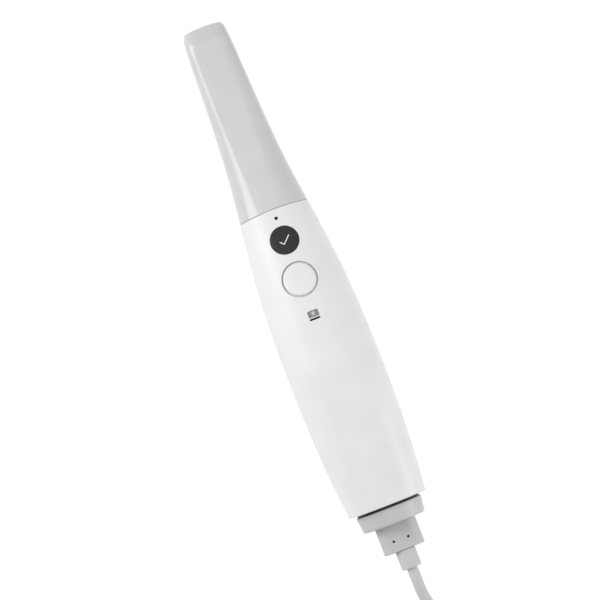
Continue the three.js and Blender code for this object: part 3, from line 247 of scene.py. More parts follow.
brass = metal("brass", (0.72, 0.52, 0.22), 0.26, (1, 0.2, 1))
silicone = rubber("silicone", grey(0.3), 0.65)
jacket = rubber("jacket", grey(0.55), 0.5)
relief_rubber = rubber("relief_rubber", grey(0.56), 0.45)
strap = rubber("strap", grey(0.025), 0.7)
circuit_board = circuit("circuit_board")

CARRIED_OVER = {
    "tip_mirror": mirror_glass,
    "nose_window": front_glass,
    "nose_window_seal": silicone,
    "switch_plunger": black_plastic,
    "switch_housing": steel,
    "button_board": circuit_board,
    "display_light_box": white_shell,
    "display_led": led_resin,
    "uv_indicator_led": led_resin,
    "optical_bench": aluminium,
    "lens_block": anodised,
    "projector_lens": black_plastic,
    "projector_engine": black_plastic,
    "camera_lens_left": black_plastic,
    "camera_lens_right": black_plastic,
    "camera_sensor_left": circuit_board,
    "camera_sensor_right": circuit_board,
    "uv_lamp_board": circuit_board,
    "uv_lamp": lamp_glass,
    "heat_sink": aluminium,
    "main_board": circuit_board,
    "processor": black_plastic,
    "board_spacer_front": brass,
    "board_spacer_rear": brass,
    "fan_housing": black_plastic,
    "fan_bearing": brass,
    "fan_rotor": black_plastic,
    "fan_shaft": steel,
    "cable_socket": black_plastic,
    "socket_board": circuit_board,
    "plug_tongue": black_plastic,
}
for number in range(1, 4):
    CARRIED_OVER[f"board_screw_{number}"] = steel
for number in range(1, 5):
    CARRIED_OVER[f"bench_screw_{number}"] = steel

for node, shader in CARRIED_OVER.items():
    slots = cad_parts[node].data.materials
    slots.clear()
    slots.append(shader.material)

# ---- Meshes --------------------------------------------------------------------------------------


class Skin:
    """Faces gathered one row at a time, with normals for the vertices whose surface is known."""

    def __init__(self):
        self.corners = []
        self.normals = []
        self.faces = []

    def row(self, points, normals=None):
        first = len(self.corners)
        self.corners += points
        self.normals += normals or [Vector()] * len(points)
        return list(range(first, first + len(points)))

    def join(self, a, b, closed=True):
        count = len(a)
        for i in range(count if closed else count - 1):
            k = (i + 1) % count
            self.faces.append((a[i], a[k], b[k], b[i]))

    def fan(self, row, middle, flip=False):
        tip = self.row([middle])[0]
        for i, corner in enumerate(row):
            after = row[(i + 1) % len(row)]
            self.faces.append((after, corner, tip) if flip else (corner, after, tip))

    def piece(self, name, shader, body, slot, replaced=()):
        mesh = bpy.data.meshes.new(name)
        mesh.from_pydata(self.corners, [], self.faces)
        mesh.materials.append(shader.material)
        made = bpy.data.objects.new(name, mesh)
        bpy.context.collection.objects.link(made)
        tidy = bmesh.new()
        tidy.from_mesh(mesh)
        bmesh.ops.recalc_face_normals(tidy, faces=tidy.faces)
        tidy.normal_update()
        if sum(v.normal.dot(n) for v, n in zip(tidy.verts, self.normals)) < 0:
            bmesh.ops.reverse_faces(tidy, faces=tidy.faces)
        tidy.to_mesh(mesh)
        tidy.free()
        mesh.shade_smooth()
        if any(n.length for n in self.normals):
            mesh.normals_split_custom_set_from_vertices(self.normals)
        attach(made, body)
        if replaced:
            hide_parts(*replaced)
        return made


def loft(rows, closed=True, start_cap=None, end_cap=None):
    made = Skin()
    before = None
    first = None
    for points in rows:
        row = made.row(points)
        if before:
            made.join(before, row, closed)
        first = first or row
        before = row
    if start_cap is not None:
        made.fan(first, start_cap)
    if end_cap is not None:
        made.fan(before, end_cap)
    return made


def rounded(radius, steps=5):
    """Offsets of a round edge: how far in from the side, and how far in from the end."""
    turns = [pi / 2 * i / steps for i in range(steps + 1)]
    return [(radius * (1 - cos(t)), radius * (1 - sin(t))) for t in turns]


# ---- The handpiece's outside, as in the CAD --------------------------------------------------------

SEAM = 91.0
BODY_END = station_of(COVER_LOW.y)
SEAM_DIP = 1.4
SEAM_REACH = 14.7
TIP_WALL = 1.6
COVER_WALL = 2.2
SEAM_GAP = 0.14
WIDEST = SEAM + (BODY_END - SEAM) * 0.56


def curve_through(points):
    slopes = []
    for i in range(len(points)):
        a, b = points[max(i - 1, 0)], points[min(i + 1, len(points) - 1)]
        slopes.append((b[1] - a[1]) / (b[0] - a[0]))

    def value(station):
        k = 0
        while k < len(points) - 2 and points[k + 1][0] <= station:
            k += 1
        (x0, y0), (x1, y1) = points[k], points[k + 1]
        span = x1 - x0
        t = (station - x0) / span
        ease = t * t * (3 - 2 * t)
        bend = span * t * (1 - t) * ((1 - t) * slopes[k] - t * slopes[k + 1])
        return y0 * (1 - ease) + y1 * ease + bend

    return value


def between(start, end, low, high, shares):
    return [(start + (end - start) * a, low + (high - low) * b) for a, b in shares]


TIP_FLARE = [(0.396, 0.174), (0.637, 0.385), (0.824, 0.642), (1, 1)]
BODY_SWELL = [(0.285, 0.52), (0.55, 0.85), (0.82, 0.985), (1, 1)]
BODY_TAPER = [(0.39, 0.11), (0.73, 0.5), (1, 1)]
PLAN_END = [(0, 0.6), (0.5, 0.74), (1.5, 0.85), (3, 0.915), (6, 0.955), (14, 1)]
TOP_END = [(0, -0.13), (0.5, 0.13), (1.5, 0.4), (3, 0.63), (6, 0.87), (9, 0.96), (14, 1)]
UNDER_END = [(0, 0.58), (0.5, 0.74), (1.5, 0.88), (3, 0.955), (6, 0.99), (14, 1)]


def outline(ending, tip, seam, body, rear):
    points = [(station, share * tip / 2) for station, share in ending]
    points += between(0, SEAM, tip / 2, seam / 2, TIP_FLARE)
    points += between(SEAM, WIDEST, seam / 2, body / 2, BODY_SWELL)
    points += between(WIDEST, BODY_END, body / 2, rear / 2, BODY_TAPER)
    return curve_through(points)


half_width = outline(PLAN_END, 22.2, 33.2, 44.3, 37.8)
top_edge = outline(TOP_END, 15.9, 27.4, 47.8, 36.4)
under_edge = outline(UNDER_END, 15.9, 27.4, 47.8, 36.4)
squareness = curve_through([(0, 3.4), (10, 3.8), (SEAM * 0.65, 2.7), (SEAM, 2.35), (BODY_END, 2.35)])


def section(station, inset):
    """Half width, half height and middle height of the outside at a station, moved in by inset."""
    top = top_edge(station) - inset
    under = -(under_edge(station) - inset)
    return half_width(station) - inset, (top - under) / 2, (top + under) / 2


def rim(station, direction, inset=0.0):
    """The section's edge in a direction round the axis. It is flat where it rests on the table."""
    wide, high, middle = section(station, inset)
    power = squareness(station)
    c, s = cos(direction), sin(direction)
    reach = (abs(c / wide) ** power + abs(s / high) ** power) ** (-1 / power)
    return at(reach * c, station, max(middle + reach * s, -AXIS_HEIGHT))


def facing(point):
    """The outward normal of the outside at a point of it."""

    def level(p):
        station = TIP_END - p.y / MM
        wide, high, middle = section(station, 0)
        power = squareness(station)
        return abs(p.x / MM / wide) ** power + abs((p.z / MM - AXIS_HEIGHT - middle) / high) ** power

    step = 0.02 * MM
    slope = []
    for axis in range(3):
        shift = Vector()
        shift[axis] = step
        slope.append(level(point + shift) - level(point - shift))
    return Vector(slope).normalized()


def seam_dip(direction):
    height = section(SEAM, 0)[1] * sin(direction)
    return SEAM_DIP * (1 - (height / SEAM_REACH) ** 2)


def seam_row(station, directions, inset, reach=14.0):
    """A row round the handpiece that follows the seam where it is close to it."""
    near = max(0.0, 1 - abs(station - SEAM) / reach)
    ease = near * near * (3 - 2 * near)
    return [rim(station + seam_dip(d) * ease, d, inset) for d in directions]


# ---- Controls: outlines that lie on the outside ----------------------------------------------------


class Control:
    """A place on the top whose pieces stand along the button's own tilted axis."""

    tilt = None

    def __init__(self, back, side=1):
        station = SEAM + back
        self.origin = rim(station, side * pi / 2)
        tilt = Control.tilt if side > 0 else 0.0
        self.up = Vector((0, sin(tilt), cos(tilt))) * side
        self.ahead = Vector((0, cos(tilt), -sin(tilt)))
        self.across = Vector((1, 0, 0))

    def on_surface(self, x, y, raised=0.0, inset=0.0):
        """The point of the outside over x, y, raised along the control's axis, all in millimetres."""
        base = self.origin + (self.across * x + self.ahead * y) * MM
        low, high = -9.0, 3.0
        for _ in range(26):
            middle = (low + high) / 2
            point = base + self.up * (middle * MM)
            station = TIP_END - point.y / MM
            wide, tall, centre = section(station, inset)
            power = squareness(station)
            level = abs(point.x / MM / wide) ** power
            level += abs((point.z / MM - AXIS_HEIGHT - centre) / tall) ** power
            if level > 1:
                high = middle
            else:
                low = middle
        return base + self.up * ((low + raised) * MM)


BUTTON_BACK = 34.8
slope_ahead = top_edge(SEAM + BUTTON_BACK + 0.5) - top_edge(SEAM + BUTTON_BACK - 0.5)
Control.tilt = atan(slope_ahead)

DOT = Control(4.7)
DISPLAY = Control(15.5)
BUTTON = Control(BUTTON_BACK)
BADGE = Control(51.9)
LIGHT_BAR = Control(54.4)
WINDOW_STATION = 11.4
WINDOW = Control(WINDOW_STATION - SEAM, side=-1)

DOT_RADIUS = 0.75
DISPLAY_RADIUS = 6.85
BUTTON_RADIUS = 7.65
BUTTON_GROOVE = 0.75
BADGE_SIZE = (4.9, 3.0)
BAR_SIZE = (4.9, 0.75)
WINDOW_SIZE = (15.0, 13.0)
HAIRLINE = 0.08


def circle(radius, count):
    def points(grow):
        turns = [2 * pi * i / count for i in range(count)]
        return [((radius + grow) * cos(t), (radius + grow) * sin(t)) for t in turns]

    return points


def rectangle(size, corner, steps=5, sides=4):
    """A rectangle with round corners, and a few points along each side."""
    wide, long = size[0] / 2, size[1] / 2

    def points(grow):
        made = []
        radius = corner + max(grow, -corner * 0.8)
        for k, (sx, sy) in enumerate([(1, 1), (-1, 1), (-1, -1), (1, -1)]):
            cx = sx * (wide + grow - radius)
            cy = sy * (long + grow - radius)
            for i in range(steps + 1):
                turn = pi / 2 * (k + i / steps)
                made.append((cx + radius * cos(turn), cy + radius * sin(turn)))
        spread = []
        for i, (x, y) in enumerate(made):
            spread.append((x, y))
            if i % (steps + 1) == steps:
                nx, ny = made[(i + 1) % len(made)]
                for m in range(1, sides):
                    spread.append((x + (nx - x) * m / sides, y + (ny - y) * m / sides))
        return spread

    return points


def pierced(skin, rows, columns_closed, patch, holes, inset=0.0):
    """Joins the rows, except inside the patch, which is meshed round the holes.

    rows is a list of (station, [points]); patch is (first row, last row, first column, last column);
    each hole is (loop of vertex numbers). Points are told apart by direction and station.
    """
    numbers = [skin.row(points, [facing(p) if inset == 0 else Vector() for p in points]) for points in rows]
    r0, r1, c0, c1 = patch
    for r in range(len(rows) - 1):
        count = len(numbers[r])
        for c in range(count if columns_closed else count - 1):
            if r0 <= r < r1 and c0 <= c < c1:
                continue
            k = (c + 1) % count
            skin.faces.append((numbers[r][c], numbers[r][k], numbers[r + 1][k], numbers[r + 1][c]))
    flat, owner, edges = [], [], []

    def flatten(number):
        p = skin.corners[number] / MM
        station = TIP_END - p.y
        middle = section(station, inset)[2]
        turn = atan2(p.z - AXIS_HEIGHT - middle, p.x)
        return Vector((turn % (2 * pi) * 16, station))

    loops = [[flatten(n) for n in loop] for loop in holes]

    def inside(p, loop, margin=0.0):
        middle = sum(loop, Vector((0, 0))) / len(loop)
        grown = [middle + (q - middle) * (1 + margin / max((q - middle).length, 1e-6)) for q in loop]
        hit = False
        for i, a in enumerate(grown):
            b = grown[i - 1]
            if (a.y > p.y) != (b.y > p.y) and p.x < (b.x - a.x) * (p.y - a.y) / (b.y - a.y) + a.x:
                hit = not hit
        return hit

    border = {}
    for r in range(r0, r1 + 1):
        for c in range(c0, c1 + 1):
            on_border = r in (r0, r1) or c in (c0, c1)
            p = flatten(numbers[r][c])
            if not on_border and any(inside(p, loop, 0.35) for loop in loops):
                continue
            if on_border:
                border[(r, c)] = len(flat)
            flat.append(p)
            owner.append(numbers[r][c])
    ring = [(r0, c) for c in range(c0, c1)] + [(r, c1) for r in range(r0, r1)]
    ring += [(r1, c) for c in range(c1, c0, -1)] + [(r, c0) for r in range(r1, r0, -1)]
    edges += [(border[a], border[b]) for a, b in zip(ring, ring[1:] + ring[:1])]
    for loop, numbers_of_loop in zip(loops, holes):
        first = len(flat)
        flat += loop
        owner += numbers_of_loop
        edges += [(first + i, first + (i + 1) % len(loop)) for i in range(len(loop))]
    points, _, faces, sources, _, _ = delaunay_2d_cdt(flat, edges, [], 0, 1e-5)
    for face in faces:
        middle = sum((points[i] for i in face), Vector((0, 0))) / 3
        if any(inside(middle, loop) for loop in loops):
            continue
        skin.faces.append(tuple(owner[sources[i][0]] for i in face))
    return numbers


def hole(skin, control, shape, fillet, depth, inset=0.0, steps=4):
    """Rows that round the edge of a hole and go down its wall. Gives its top and bottom loops."""
    loops = []
    for i in range(steps + 1):
        turn = pi / 2 * i / steps
        grow, drop = fillet * (1 - sin(turn)), fillet * (1 - cos(turn))
        points = [control.on_surface(x, y, -drop, inset) for x, y in shape(grow)]
        loops.append(skin.row(points, [facing(p) for p in points] if i == 0 else None))
    loops.append(skin.row([control.on_surface(x, y, -depth, inset) for x, y in shape(0)]))
    for a, b in zip(loops, loops[1:]):
        skin.join(a, b)
    return loops[0], loops[-1]


def inlay(control, shape, raised, fillet, depth, rings=6):
    """A piece that fills an outline on the outside, with a round edge and a side wall."""
    made = Skin()
    rows = [[control.on_surface(x, y, raised - depth) for x, y in shape(0)]]
    for i in range(4, -1, -1):
        turn = pi / 2 * i / 4
        grow, drop = fillet * (1 - sin(turn)), fillet * (1 - cos(turn))
        rows.append([control.on_surface(x, y, raised - drop) for x, y in shape(-grow)])
    edge = shape(-fillet)
    for i in range(1, rings):
        share = 1 - i / rings
        rows.append([control.on_surface(x * share, y * share, raised) for x, y in edge])
    numbers = []
    for i, row in enumerate(rows):
        normals = [facing(p - control.up * (raised * MM)) for p in row] if i >= 5 else None
        numbers.append(made.row(row, normals))
    for a, b in zip(numbers, numbers[1:]):
        made.join(a, b)
    made.fan(numbers[-1], control.on_surface(0, 0, raised))
    made.normals[-1] = facing(control.origin)
    return made


def spread(start, end, count):
    return [start + (end - start) * i / count for i in range(count + 1)]


# ---- Mirror tip ----------------------------------------------------------------------------------

AROUND = 120
ALL_ROUND = [2 * pi * i / AROUND + 2 * pi / AROUND * 0.5 for i in range(AROUND)]
CAP_START = 1.5


def cap_rows(inset, end, start):
    """Rows that close the tip with a shallow dome between two stations."""
    rows = []
    for share in (0.2, 0.4, 0.58, 0.74, 0.86, 0.94, 0.985):
        station = end + (start - end) * (1 - sqrt(1 - share * share))
        middle = at(0, start, section(start, inset)[2])
        edge = [rim(start, d, inset) for d in ALL_ROUND]
        rows.append([middle.lerp(p, share) + Vector((0, (start - station) * MM, 0)) for p in edge])
    return rows


def build_tip():
    made = Skin()
    stations = [1.5, 1.9, 2.4, 3, 3.8] + spread(4.6, 24, 24) + spread(25.5, SEAM - 0.25, 36)
    window = rectangle(WINDOW_SIZE, 2.0)
    top_loop, bottom_loop = hole(made, WINDOW, window, 0.45, 1.2)
    rows = [seam_row(s, ALL_ROUND, 0.0) for s in stations]
    middle = AROUND * 3 // 4
    reach = 20
    last = next(i for i, s in enumerate(stations) if s > WINDOW_STATION + 8)
    numbers = pierced(made, rows, True, (2, last, middle - reach, middle + reach), [top_loop])
    before = numbers[0]
    for points in reversed(cap_rows(0, 0, CAP_START)):
        row = made.row(points)
        made.join(before, row)
        before = row
    made.fan(before, at(0, 0, section(CAP_START, 0)[2]))
    before = numbers[-1]
    edges = [(SEAM - 0.07, 0.02), (SEAM - 0.02, 0.1), (SEAM, 0.25), (SEAM, TIP_WALL - 0.3)]
    for station, inset in edges + [(SEAM - 0.1, TIP_WALL - 0.1), (SEAM - 0.4, TIP_WALL)]:
        row = made.row(seam_row(station, ALL_ROUND, inset))
        made.join(before, row)
        before = row
    inner_stations = spread(SEAM - 2, 25.5, 24) + spread(24, 3.4, 20)
    inner_loop = made.row([WINDOW.on_surface(x, y, 0, TIP_WALL) for x, y in window(0)])
    made.join(bottom_loop, inner_loop)
    inner_rows = [seam_row(s, ALL_ROUND, TIP_WALL) for s in inner_stations]
    first = next(i for i, s in enumerate(inner_stations) if s < WINDOW_STATION + 8)
    patch = (first, len(inner_stations) - 1, middle - reach, middle + reach)
    numbers = pierced(made, inner_rows, True, patch, [inner_loop], TIP_WALL)
    made.join(before, numbers[0])
    made.fan(numbers[-1], at(0, 3.0, section(3.4, TIP_WALL)[2]))
    return made.piece("tip_shell", grey_tip, "mirror_tip", "grey_tip", ["tip_sleeve"])


# ---- Covers --------------------------------------------------------------------------------------

PARTING = 0.1
END_LIP = 0.45


def cover_stations():
    start = SEAM + SEAM_GAP
    return [start + 0.25] + spread(start + 0.8, SEAM + 62, 60) + spread(SEAM + 64, BODY_END - END_LIP, 42)


def cover_ends(made, first, last, directions):
    """Rounds the covers' front and rear edges and turns them in."""
    start = SEAM + SEAM_GAP
    before = first
    ends = [(start + 0.07, 0.02), (start + 0.02, 0.1), (start, 0.25), (start, COVER_WALL - 0.2), (start + 4, COVER_WALL)]
    for station, inset in ends:
        row = made.row(seam_row(station, directions, inset))
        made.join(before, row, closed=False)
        before = row
    before = last
    for side, end in reversed(rounded(END_LIP)):
        row = made.row(seam_row(BODY_END - end, directions, side))
        made.join(before, row, closed=False)
        before = row
    for station, inset in [(BODY_END, COVER_WALL - 0.25), (BODY_END - 0.3, COVER_WALL), (BODY_END - 9, COVER_WALL)]:
        row = made.row(seam_row(station, directions, inset))
        made.join(before, row, closed=False)
        before = row


def cover_sides(made, numbers, stations, directions):
    """Turns the covers' edges in along the parting line."""
    for column, direction in ((0, directions[0]), (-1, directions[-1])):
        before = [row[column] for row in numbers]
        for drop, inset in [(0.03, 0.06), (0.05, 0.16), (0.05, 1.6)]:
            points = []
            for station in stations:
                points.append(seam_row(station, [direction], inset)[0])
            row = made.row(points)
            made.join(before, row, closed=False)
            before = row


def build_cover(side):
    made = Skin()
    margin = 0.004
    turns = spread(margin, pi - margin, 80)
    directions = turns if side > 0 else [t + pi for t in turns]
    stations = cover_stations()
    rows = [seam_row(s, directions, 0.0) for s in stations]
    if side > 0:
        holes = [
            hole(made, DOT, circle(DOT_RADIUS + HAIRLINE, 24), 0.04, 1.2)[0],
            hole(made, DISPLAY, circle(DISPLAY_RADIUS + HAIRLINE, 96), 0.06, 1.1)[0],
            hole(made, BUTTON, circle(BUTTON_RADIUS + BUTTON_GROOVE, 96), 0.38, COVER_WALL + 0.6)[0],
            hole(made, BADGE, rectangle(tuple(v + 2 * HAIRLINE for v in BADGE_SIZE), 0.4), 0.04, 0.5)[0],
            hole(made, LIGHT_BAR, rectangle(tuple(v + 2 * HAIRLINE for v in BAR_SIZE), 0.3, 3), 0.04, 1.5)[0],
        ]
        last = next(i for i, s in enumerate(stations) if s > SEAM + 59)
        numbers = pierced(made, rows, False, (2, last, 22, 58), holes)
    else:
        numbers = pierced(made, rows, False, (0, 0, 0, 0), [])
    cover_ends(made, numbers[0], numbers[-1], directions)
    cover_sides(made, numbers, stations, directions)
    name = "upper_cover" if side > 0 else "lower_cover"
    shell = f"{name}_shell"
    return made.piece(shell, white_shell, "handpiece", "white_shell", [name])


# ---- Controls ------------------------------------------------------------------------------------

RIM_WIDTH = 0.2


def build_controls():
    dot = inlay(DOT, circle(DOT_RADIUS, 24), 0, 0.08, 1.0, 3)
    dot.piece("power_dot_lens", black_mark, "handpiece", "black_mark", ["power_dot"])
    glass = inlay(DISPLAY, circle(DISPLAY_RADIUS - RIM_WIDTH, 96), 0, 0.05, 1.0)
    glass.piece("display_glass", dark_window, "handpiece", "dark_window", ["display_window"])
    profile = [(0, -1.0), (0, -0.06), (0.07, 0.01), (RIM_WIDTH - 0.07, 0.01), (RIM_WIDTH, -0.05), (RIM_WIDTH, -1.0)]
    rows = [[DISPLAY.on_surface(x, y, up) for x, y in circle(DISPLAY_RADIUS - drop, 96)(0)] for drop, up in profile]
    loft(rows).piece("display_rim", window_rim, "handpiece", "grey_collar")
    button = inlay(BUTTON, circle(BUTTON_RADIUS, 96), 0.35, 0.6, 1.5, 8)
    skirt = [(0, -1.15), (0.25, -1.3), (BUTTON_GROOVE - 0.14, -1.3), (BUTTON_GROOVE - 0.12, -2.4)]
    before = button.row([BUTTON.on_surface(x, y, -1.1) for x, y in circle(BUTTON_RADIUS - 0.02, 96)(0)])
    for grow, up in skirt:
        row = button.row([BUTTON.on_surface(x, y, up) for x, y in circle(BUTTON_RADIUS + grow, 96)(0)])
        button.join(row, before)
        before = row
    button.piece("scan_button_cap", button_white, "button", "white_shell", ["scan_button"])
    badge = inlay(BADGE, rectangle(BADGE_SIZE, 0.4), 0, 0.06, 0.45)
    badge.piece("badge_plate", grey_badge, "handpiece", "grey_badge", ["uv_badge"])
    light_bar = inlay(LIGHT_BAR, rectangle(BAR_SIZE, 0.3, 3), 0, 0.06, 1.2, 3)
    light_bar.piece("light_bar_lens", black_mark, "handpiece", "black_mark", ["uv_light_bar"])


def stroke(made, control, points, width, raised):
    """A flat line of the given width through the points, laid on the outside."""
    before = None
    path = [Vector(p) for p in points]
    fine = []
    for a, b in zip(path, path[1:]):
        steps = max(1, round((b - a).length / 0.25))
        fine += [(a.lerp(b, i / steps), (b - a).normalized()) for i in range(steps + 1)]
    merged = []
    for p, way in fine:
        if merged and (merged[-1][0] - p).length < 1e-6:
            corner = (merged[-1][1] + way).normalized()
            merged[-1] = (p, corner / max(corner.dot(way), 0.5))
        else:
            merged.append((p, way))
    for i, (p, way) in enumerate(merged):
        side = Vector((-way.y, way.x)) * (width / 2)
        tip = 0.75 if i in (0, len(merged) - 1) else 1
        spots = [(p + side * tip, -0.1), (p + side * tip, 0), (p, 0), (p - side * tip, 0), (p - side * tip, -0.1)]
        row = made.row([control.on_surface(q.x, q.y, raised + drop) for q, drop in spots])
        if before:
            made.join(before, row, closed=False)
        else:
            made.faces.append(tuple(row))
        before = row
    made.faces.append(tuple(reversed(before)))


def build_marks():
    check = Skin()
    stroke(check, DISPLAY, [(-2.5, -0.15), (-0.75, -1.85), (2.75, 1.75)], 0.44, 0.03)
    check.piece("check_mark", check_white, "handpiece", "white_shell")
    sun = Skin()
    for i in range(8):
        turn = 2 * pi * i / 8
        ray = [(r * cos(turn), r * sin(turn)) for r in (0.78, 1.28)]
        stroke(sun, BADGE, ray, 0.24, 0.03)
    rows = [[BADGE.on_surface(x, y, up) for x, y in circle(r, 20)(0)] for r, up in ((0.5, -0.1), (0.5, 0.03), (0.2, 0.03))]
    before = None
    for points in rows:
        row = sun.row(points)
        if before:
            sun.join(before, row)
        before = row
    sun.fan(before, BADGE.on_surface(0, 0, 0.03))
    sun.piece("badge_sun", check_white, "handpiece", "white_shell")


# ---- Nose ----------------------------------------------------------------------------------------

NOSE_START = SEAM - 34
NOSE_INSET = TIP_WALL + 0.4
NOSE_RIM = NOSE_INSET + 0.9
ROOT_INSET = COVER_WALL + 0.3
RING_START = SEAM - 6
RING_WIDTH = 1.7
RING_DEPTH = 0.8


def build_nose():
    profile = [(NOSE_START + 2.2, NOSE_RIM), (NOSE_START + 0.2, NOSE_RIM), (NOSE_START, NOSE_RIM - 0.15)]
    profile += [(NOSE_START, NOSE_INSET + 0.4), (NOSE_START + 0.12, NOSE_INSET + 0.12), (NOSE_START + 0.4, NOSE_INSET)]
    profile += [(s, NOSE_INSET) for s in spread(NOSE_START + 2, RING_START - 0.15, 22)]
    profile += [(RING_START, NOSE_INSET + 0.15), (RING_START, NOSE_INSET + RING_DEPTH)]
    profile += [(RING_START + RING_WIDTH, NOSE_INSET + RING_DEPTH), (RING_START + RING_WIDTH, NOSE_INSET + 0.15)]
    profile += [(s, NOSE_INSET) for s in spread(RING_START + RING_WIDTH + 0.15, SEAM - 0.9, 3)]
    profile += [(SEAM - 0.6, NOSE_INSET + 0.15), (SEAM - 0.5, ROOT_INSET)]
    profile += [(s, ROOT_INSET) for s in spread(SEAM, SEAM + 7.6, 5)]
    nose = loft([[rim(s, d, inset) for d in ALL_ROUND] for s, inset in profile])
    nose.piece("nose_barrel", black_plastic, "handpiece", "black_plastic", ["optic_nose"])
    ring = [(0.15, 0.75), (0.15, 0.15), (0.3, -0.05), (0.85, -0.1), (1.4, -0.05), (1.55, 0.15), (1.55, 0.75)]
    rows = [[rim(RING_START + s, d, NOSE_INSET + drop) for d in ALL_ROUND] for s, drop in ring]
    loft(rows).piece("seal_ring", silicone, "handpiece", "silicone", ["nose_seal_ring"])


# ---- Collar, plug and strain relief ----------------------------------------------------------------

COLLAR_END = station_of(COLLAR_LOW.y)
COLLAR_LENGTH = 7.8
COLLAR_START = COLLAR_END - COLLAR_LENGTH
COLLAR_FRONT = (32.0, 30.8)
COLLAR_REAR = (30.2, 29.0)
NECK = (30.4, 29.2)
MOUTH = (10.8, 5.0)
PLUG_START = station_of(PLUG_HIGH.y)
PLUG_END = station_of(PLUG_LOW.y)
PLUG_SIZE = (PLUG_HIGH.x - PLUG_LOW.x, PLUG_HIGH.z - PLUG_LOW.z)
RELIEF_END = station_of(RELIEF_LOW.y)
RELIEF_RADIUS = (RELIEF_HIGH.x - RELIEF_LOW.x) / 2
CORD_DIAMETER = 5.3


def oval(station, size, power=2.0, grow=0.0):
    wide, high = size[0] / 2 + grow, size[1] / 2 + grow
    points = []
    for turn in ALL_ROUND:
        c, s = cos(turn), sin(turn)
        reach = (abs(c / wide) ** power + abs(s / high) ** power) ** (-1 / power)
        points.append(at(reach * c, station, reach * s))
    return points


def build_collar():
    # The neck's black is painted shade: it stands in for the shadow in the narrow vent gap behind the covers' rear
    # edge.
    neck = loft([oval(s, NECK) for s in spread(BODY_END - 6, COLLAR_START + 0.4, 6)])
    neck.piece("collar_neck_painted_shade", black_plastic, "handpiece", "black_plastic")
    rows = [oval(COLLAR_START + 0.3, NECK, grow=0.02), oval(COLLAR_START, NECK, grow=0.05)]
    rows += [oval(COLLAR_START + end, COLLAR_FRONT, grow=-side) for side, end in rounded(0.3)[::-1]]
    for share in (0.15, 0.4, 0.65, 0.88):
        size = [a + (b - a) * share for a, b in zip(COLLAR_FRONT, COLLAR_REAR)]
        rows.append(oval(COLLAR_START + COLLAR_LENGTH * share, size))
    rows += [oval(COLLAR_END - end, COLLAR_REAR, grow=-side) for side, end in rounded(0.7)]
    for share in (0.25, 0.5, 0.75):
        size = [a + (b - a) * share for a, b in zip((COLLAR_REAR[0] - 1.4, COLLAR_REAR[1] - 1.4), MOUTH)]
        rows.append(oval(COLLAR_END, size, 2 + share))
    rows += [oval(COLLAR_END, MOUTH, 3.5, 0.15), oval(COLLAR_END + -0.15, MOUTH, 3.5), oval(COLLAR_END - 2.0, MOUTH, 3.5)]
    loft(rows).piece("collar_ring", grey_collar, "handpiece", "grey_collar", ["rear_collar"])


def block_row(station, size, corner, grow=0.0, middle=(0.0, 0.0), steps=8, sides=6):
    outline = rectangle(size, corner, steps, sides)(grow)
    return [at(middle[0] + x, station, middle[1] + z) for x, z in outline]


def build_plug():
    corner = PLUG_SIZE[1] * 0.48
    rows = [block_row(PLUG_START + 1.4, MOUTH, 1.8), block_row(PLUG_START + 0.15, MOUTH, 1.8)]
    rows.append(block_row(PLUG_START, MOUTH, 1.8, 0.15))
    rows += [block_row(PLUG_START + end, PLUG_SIZE, corner, -side) for side, end in rounded(0.3)[::-1]]
    rows += [block_row(s, PLUG_SIZE, corner) for s in spread(PLUG_START + 0.8, PLUG_END - 1.4, 8)]
    rows += [block_row(PLUG_END - end, PLUG_SIZE, corner, -side) for side, end in rounded(0.5)]
    rows += [block_row(PLUG_END, (6.8, 6.8), 3.39), block_row(PLUG_END - 1.0, (6.6, 6.6), 3.29)]
    loft(rows).piece("plug_case", plug_grey, "cable", "grey_collar", ["plug_shell"])
    back = PLUG_START + 7.9
    face = PLUG_SIZE[1] / 2
    for side, name in ((-1, "left"), (1, "right")):
        low, high = box_mm(f"plug_screw_{name}")
        x, y = (low.x + high.x) / 2, (low.y + high.y) / 2
        radius = (high.x - low.x) / 2 + 0.03
        rows = []
        for r, up in ((radius, -0.4), (radius, 0.0), (radius - 0.06, 0.03), (radius * 0.5, 0.045)):
            turns = [2 * pi * i / 32 for i in range(32)]
            rows.append([at(x + r * cos(t), station_of(y) + r * sin(t), face + up) for t in turns])
        head = loft(rows, end_cap=at(x, station_of(y), face + 0.05))
        head.piece(f"plug_pin_{name}", black_mark, "cable", "black_mark", [f"plug_screw_{name}"])


def ring_row(station, radius, count=64):
    turns = [2 * pi * i / count for i in range(count)]
    return [at(radius * cos(t), station, radius * sin(t)) for t in turns]


def build_relief():
    rows = [ring_row(PLUG_END - 1.2, 3.2), ring_row(PLUG_END + 0.1, 3.2)]
    rows += [ring_row(PLUG_END + 0.1 + end, RELIEF_RADIUS - side) for side, end in rounded(0.35)[::-1]]
    rows += [ring_row(s, RELIEF_RADIUS) for s in spread(PLUG_END + 1.2, RELIEF_END - 1.4, 4)]
    rows += [ring_row(RELIEF_END - end, RELIEF_RADIUS - side) for side, end in rounded(0.6)]
    hole_radius = CORD_DIAMETER / 2 + 0.1
    rows += [ring_row(RELIEF_END, hole_radius + 0.2), ring_row(RELIEF_END - 0.2, hole_radius)]
    rows.append(ring_row(RELIEF_END - 1.5, hole_radius))
    return loft(rows).piece("relief_sleeve", relief_rubber, "cable", "cable_jacket", ["strain_relief"])


# ---- Cable ---------------------------------------------------------------------------------------
# Points are across, back from the strain relief's end, and above the table, as in the CAD.

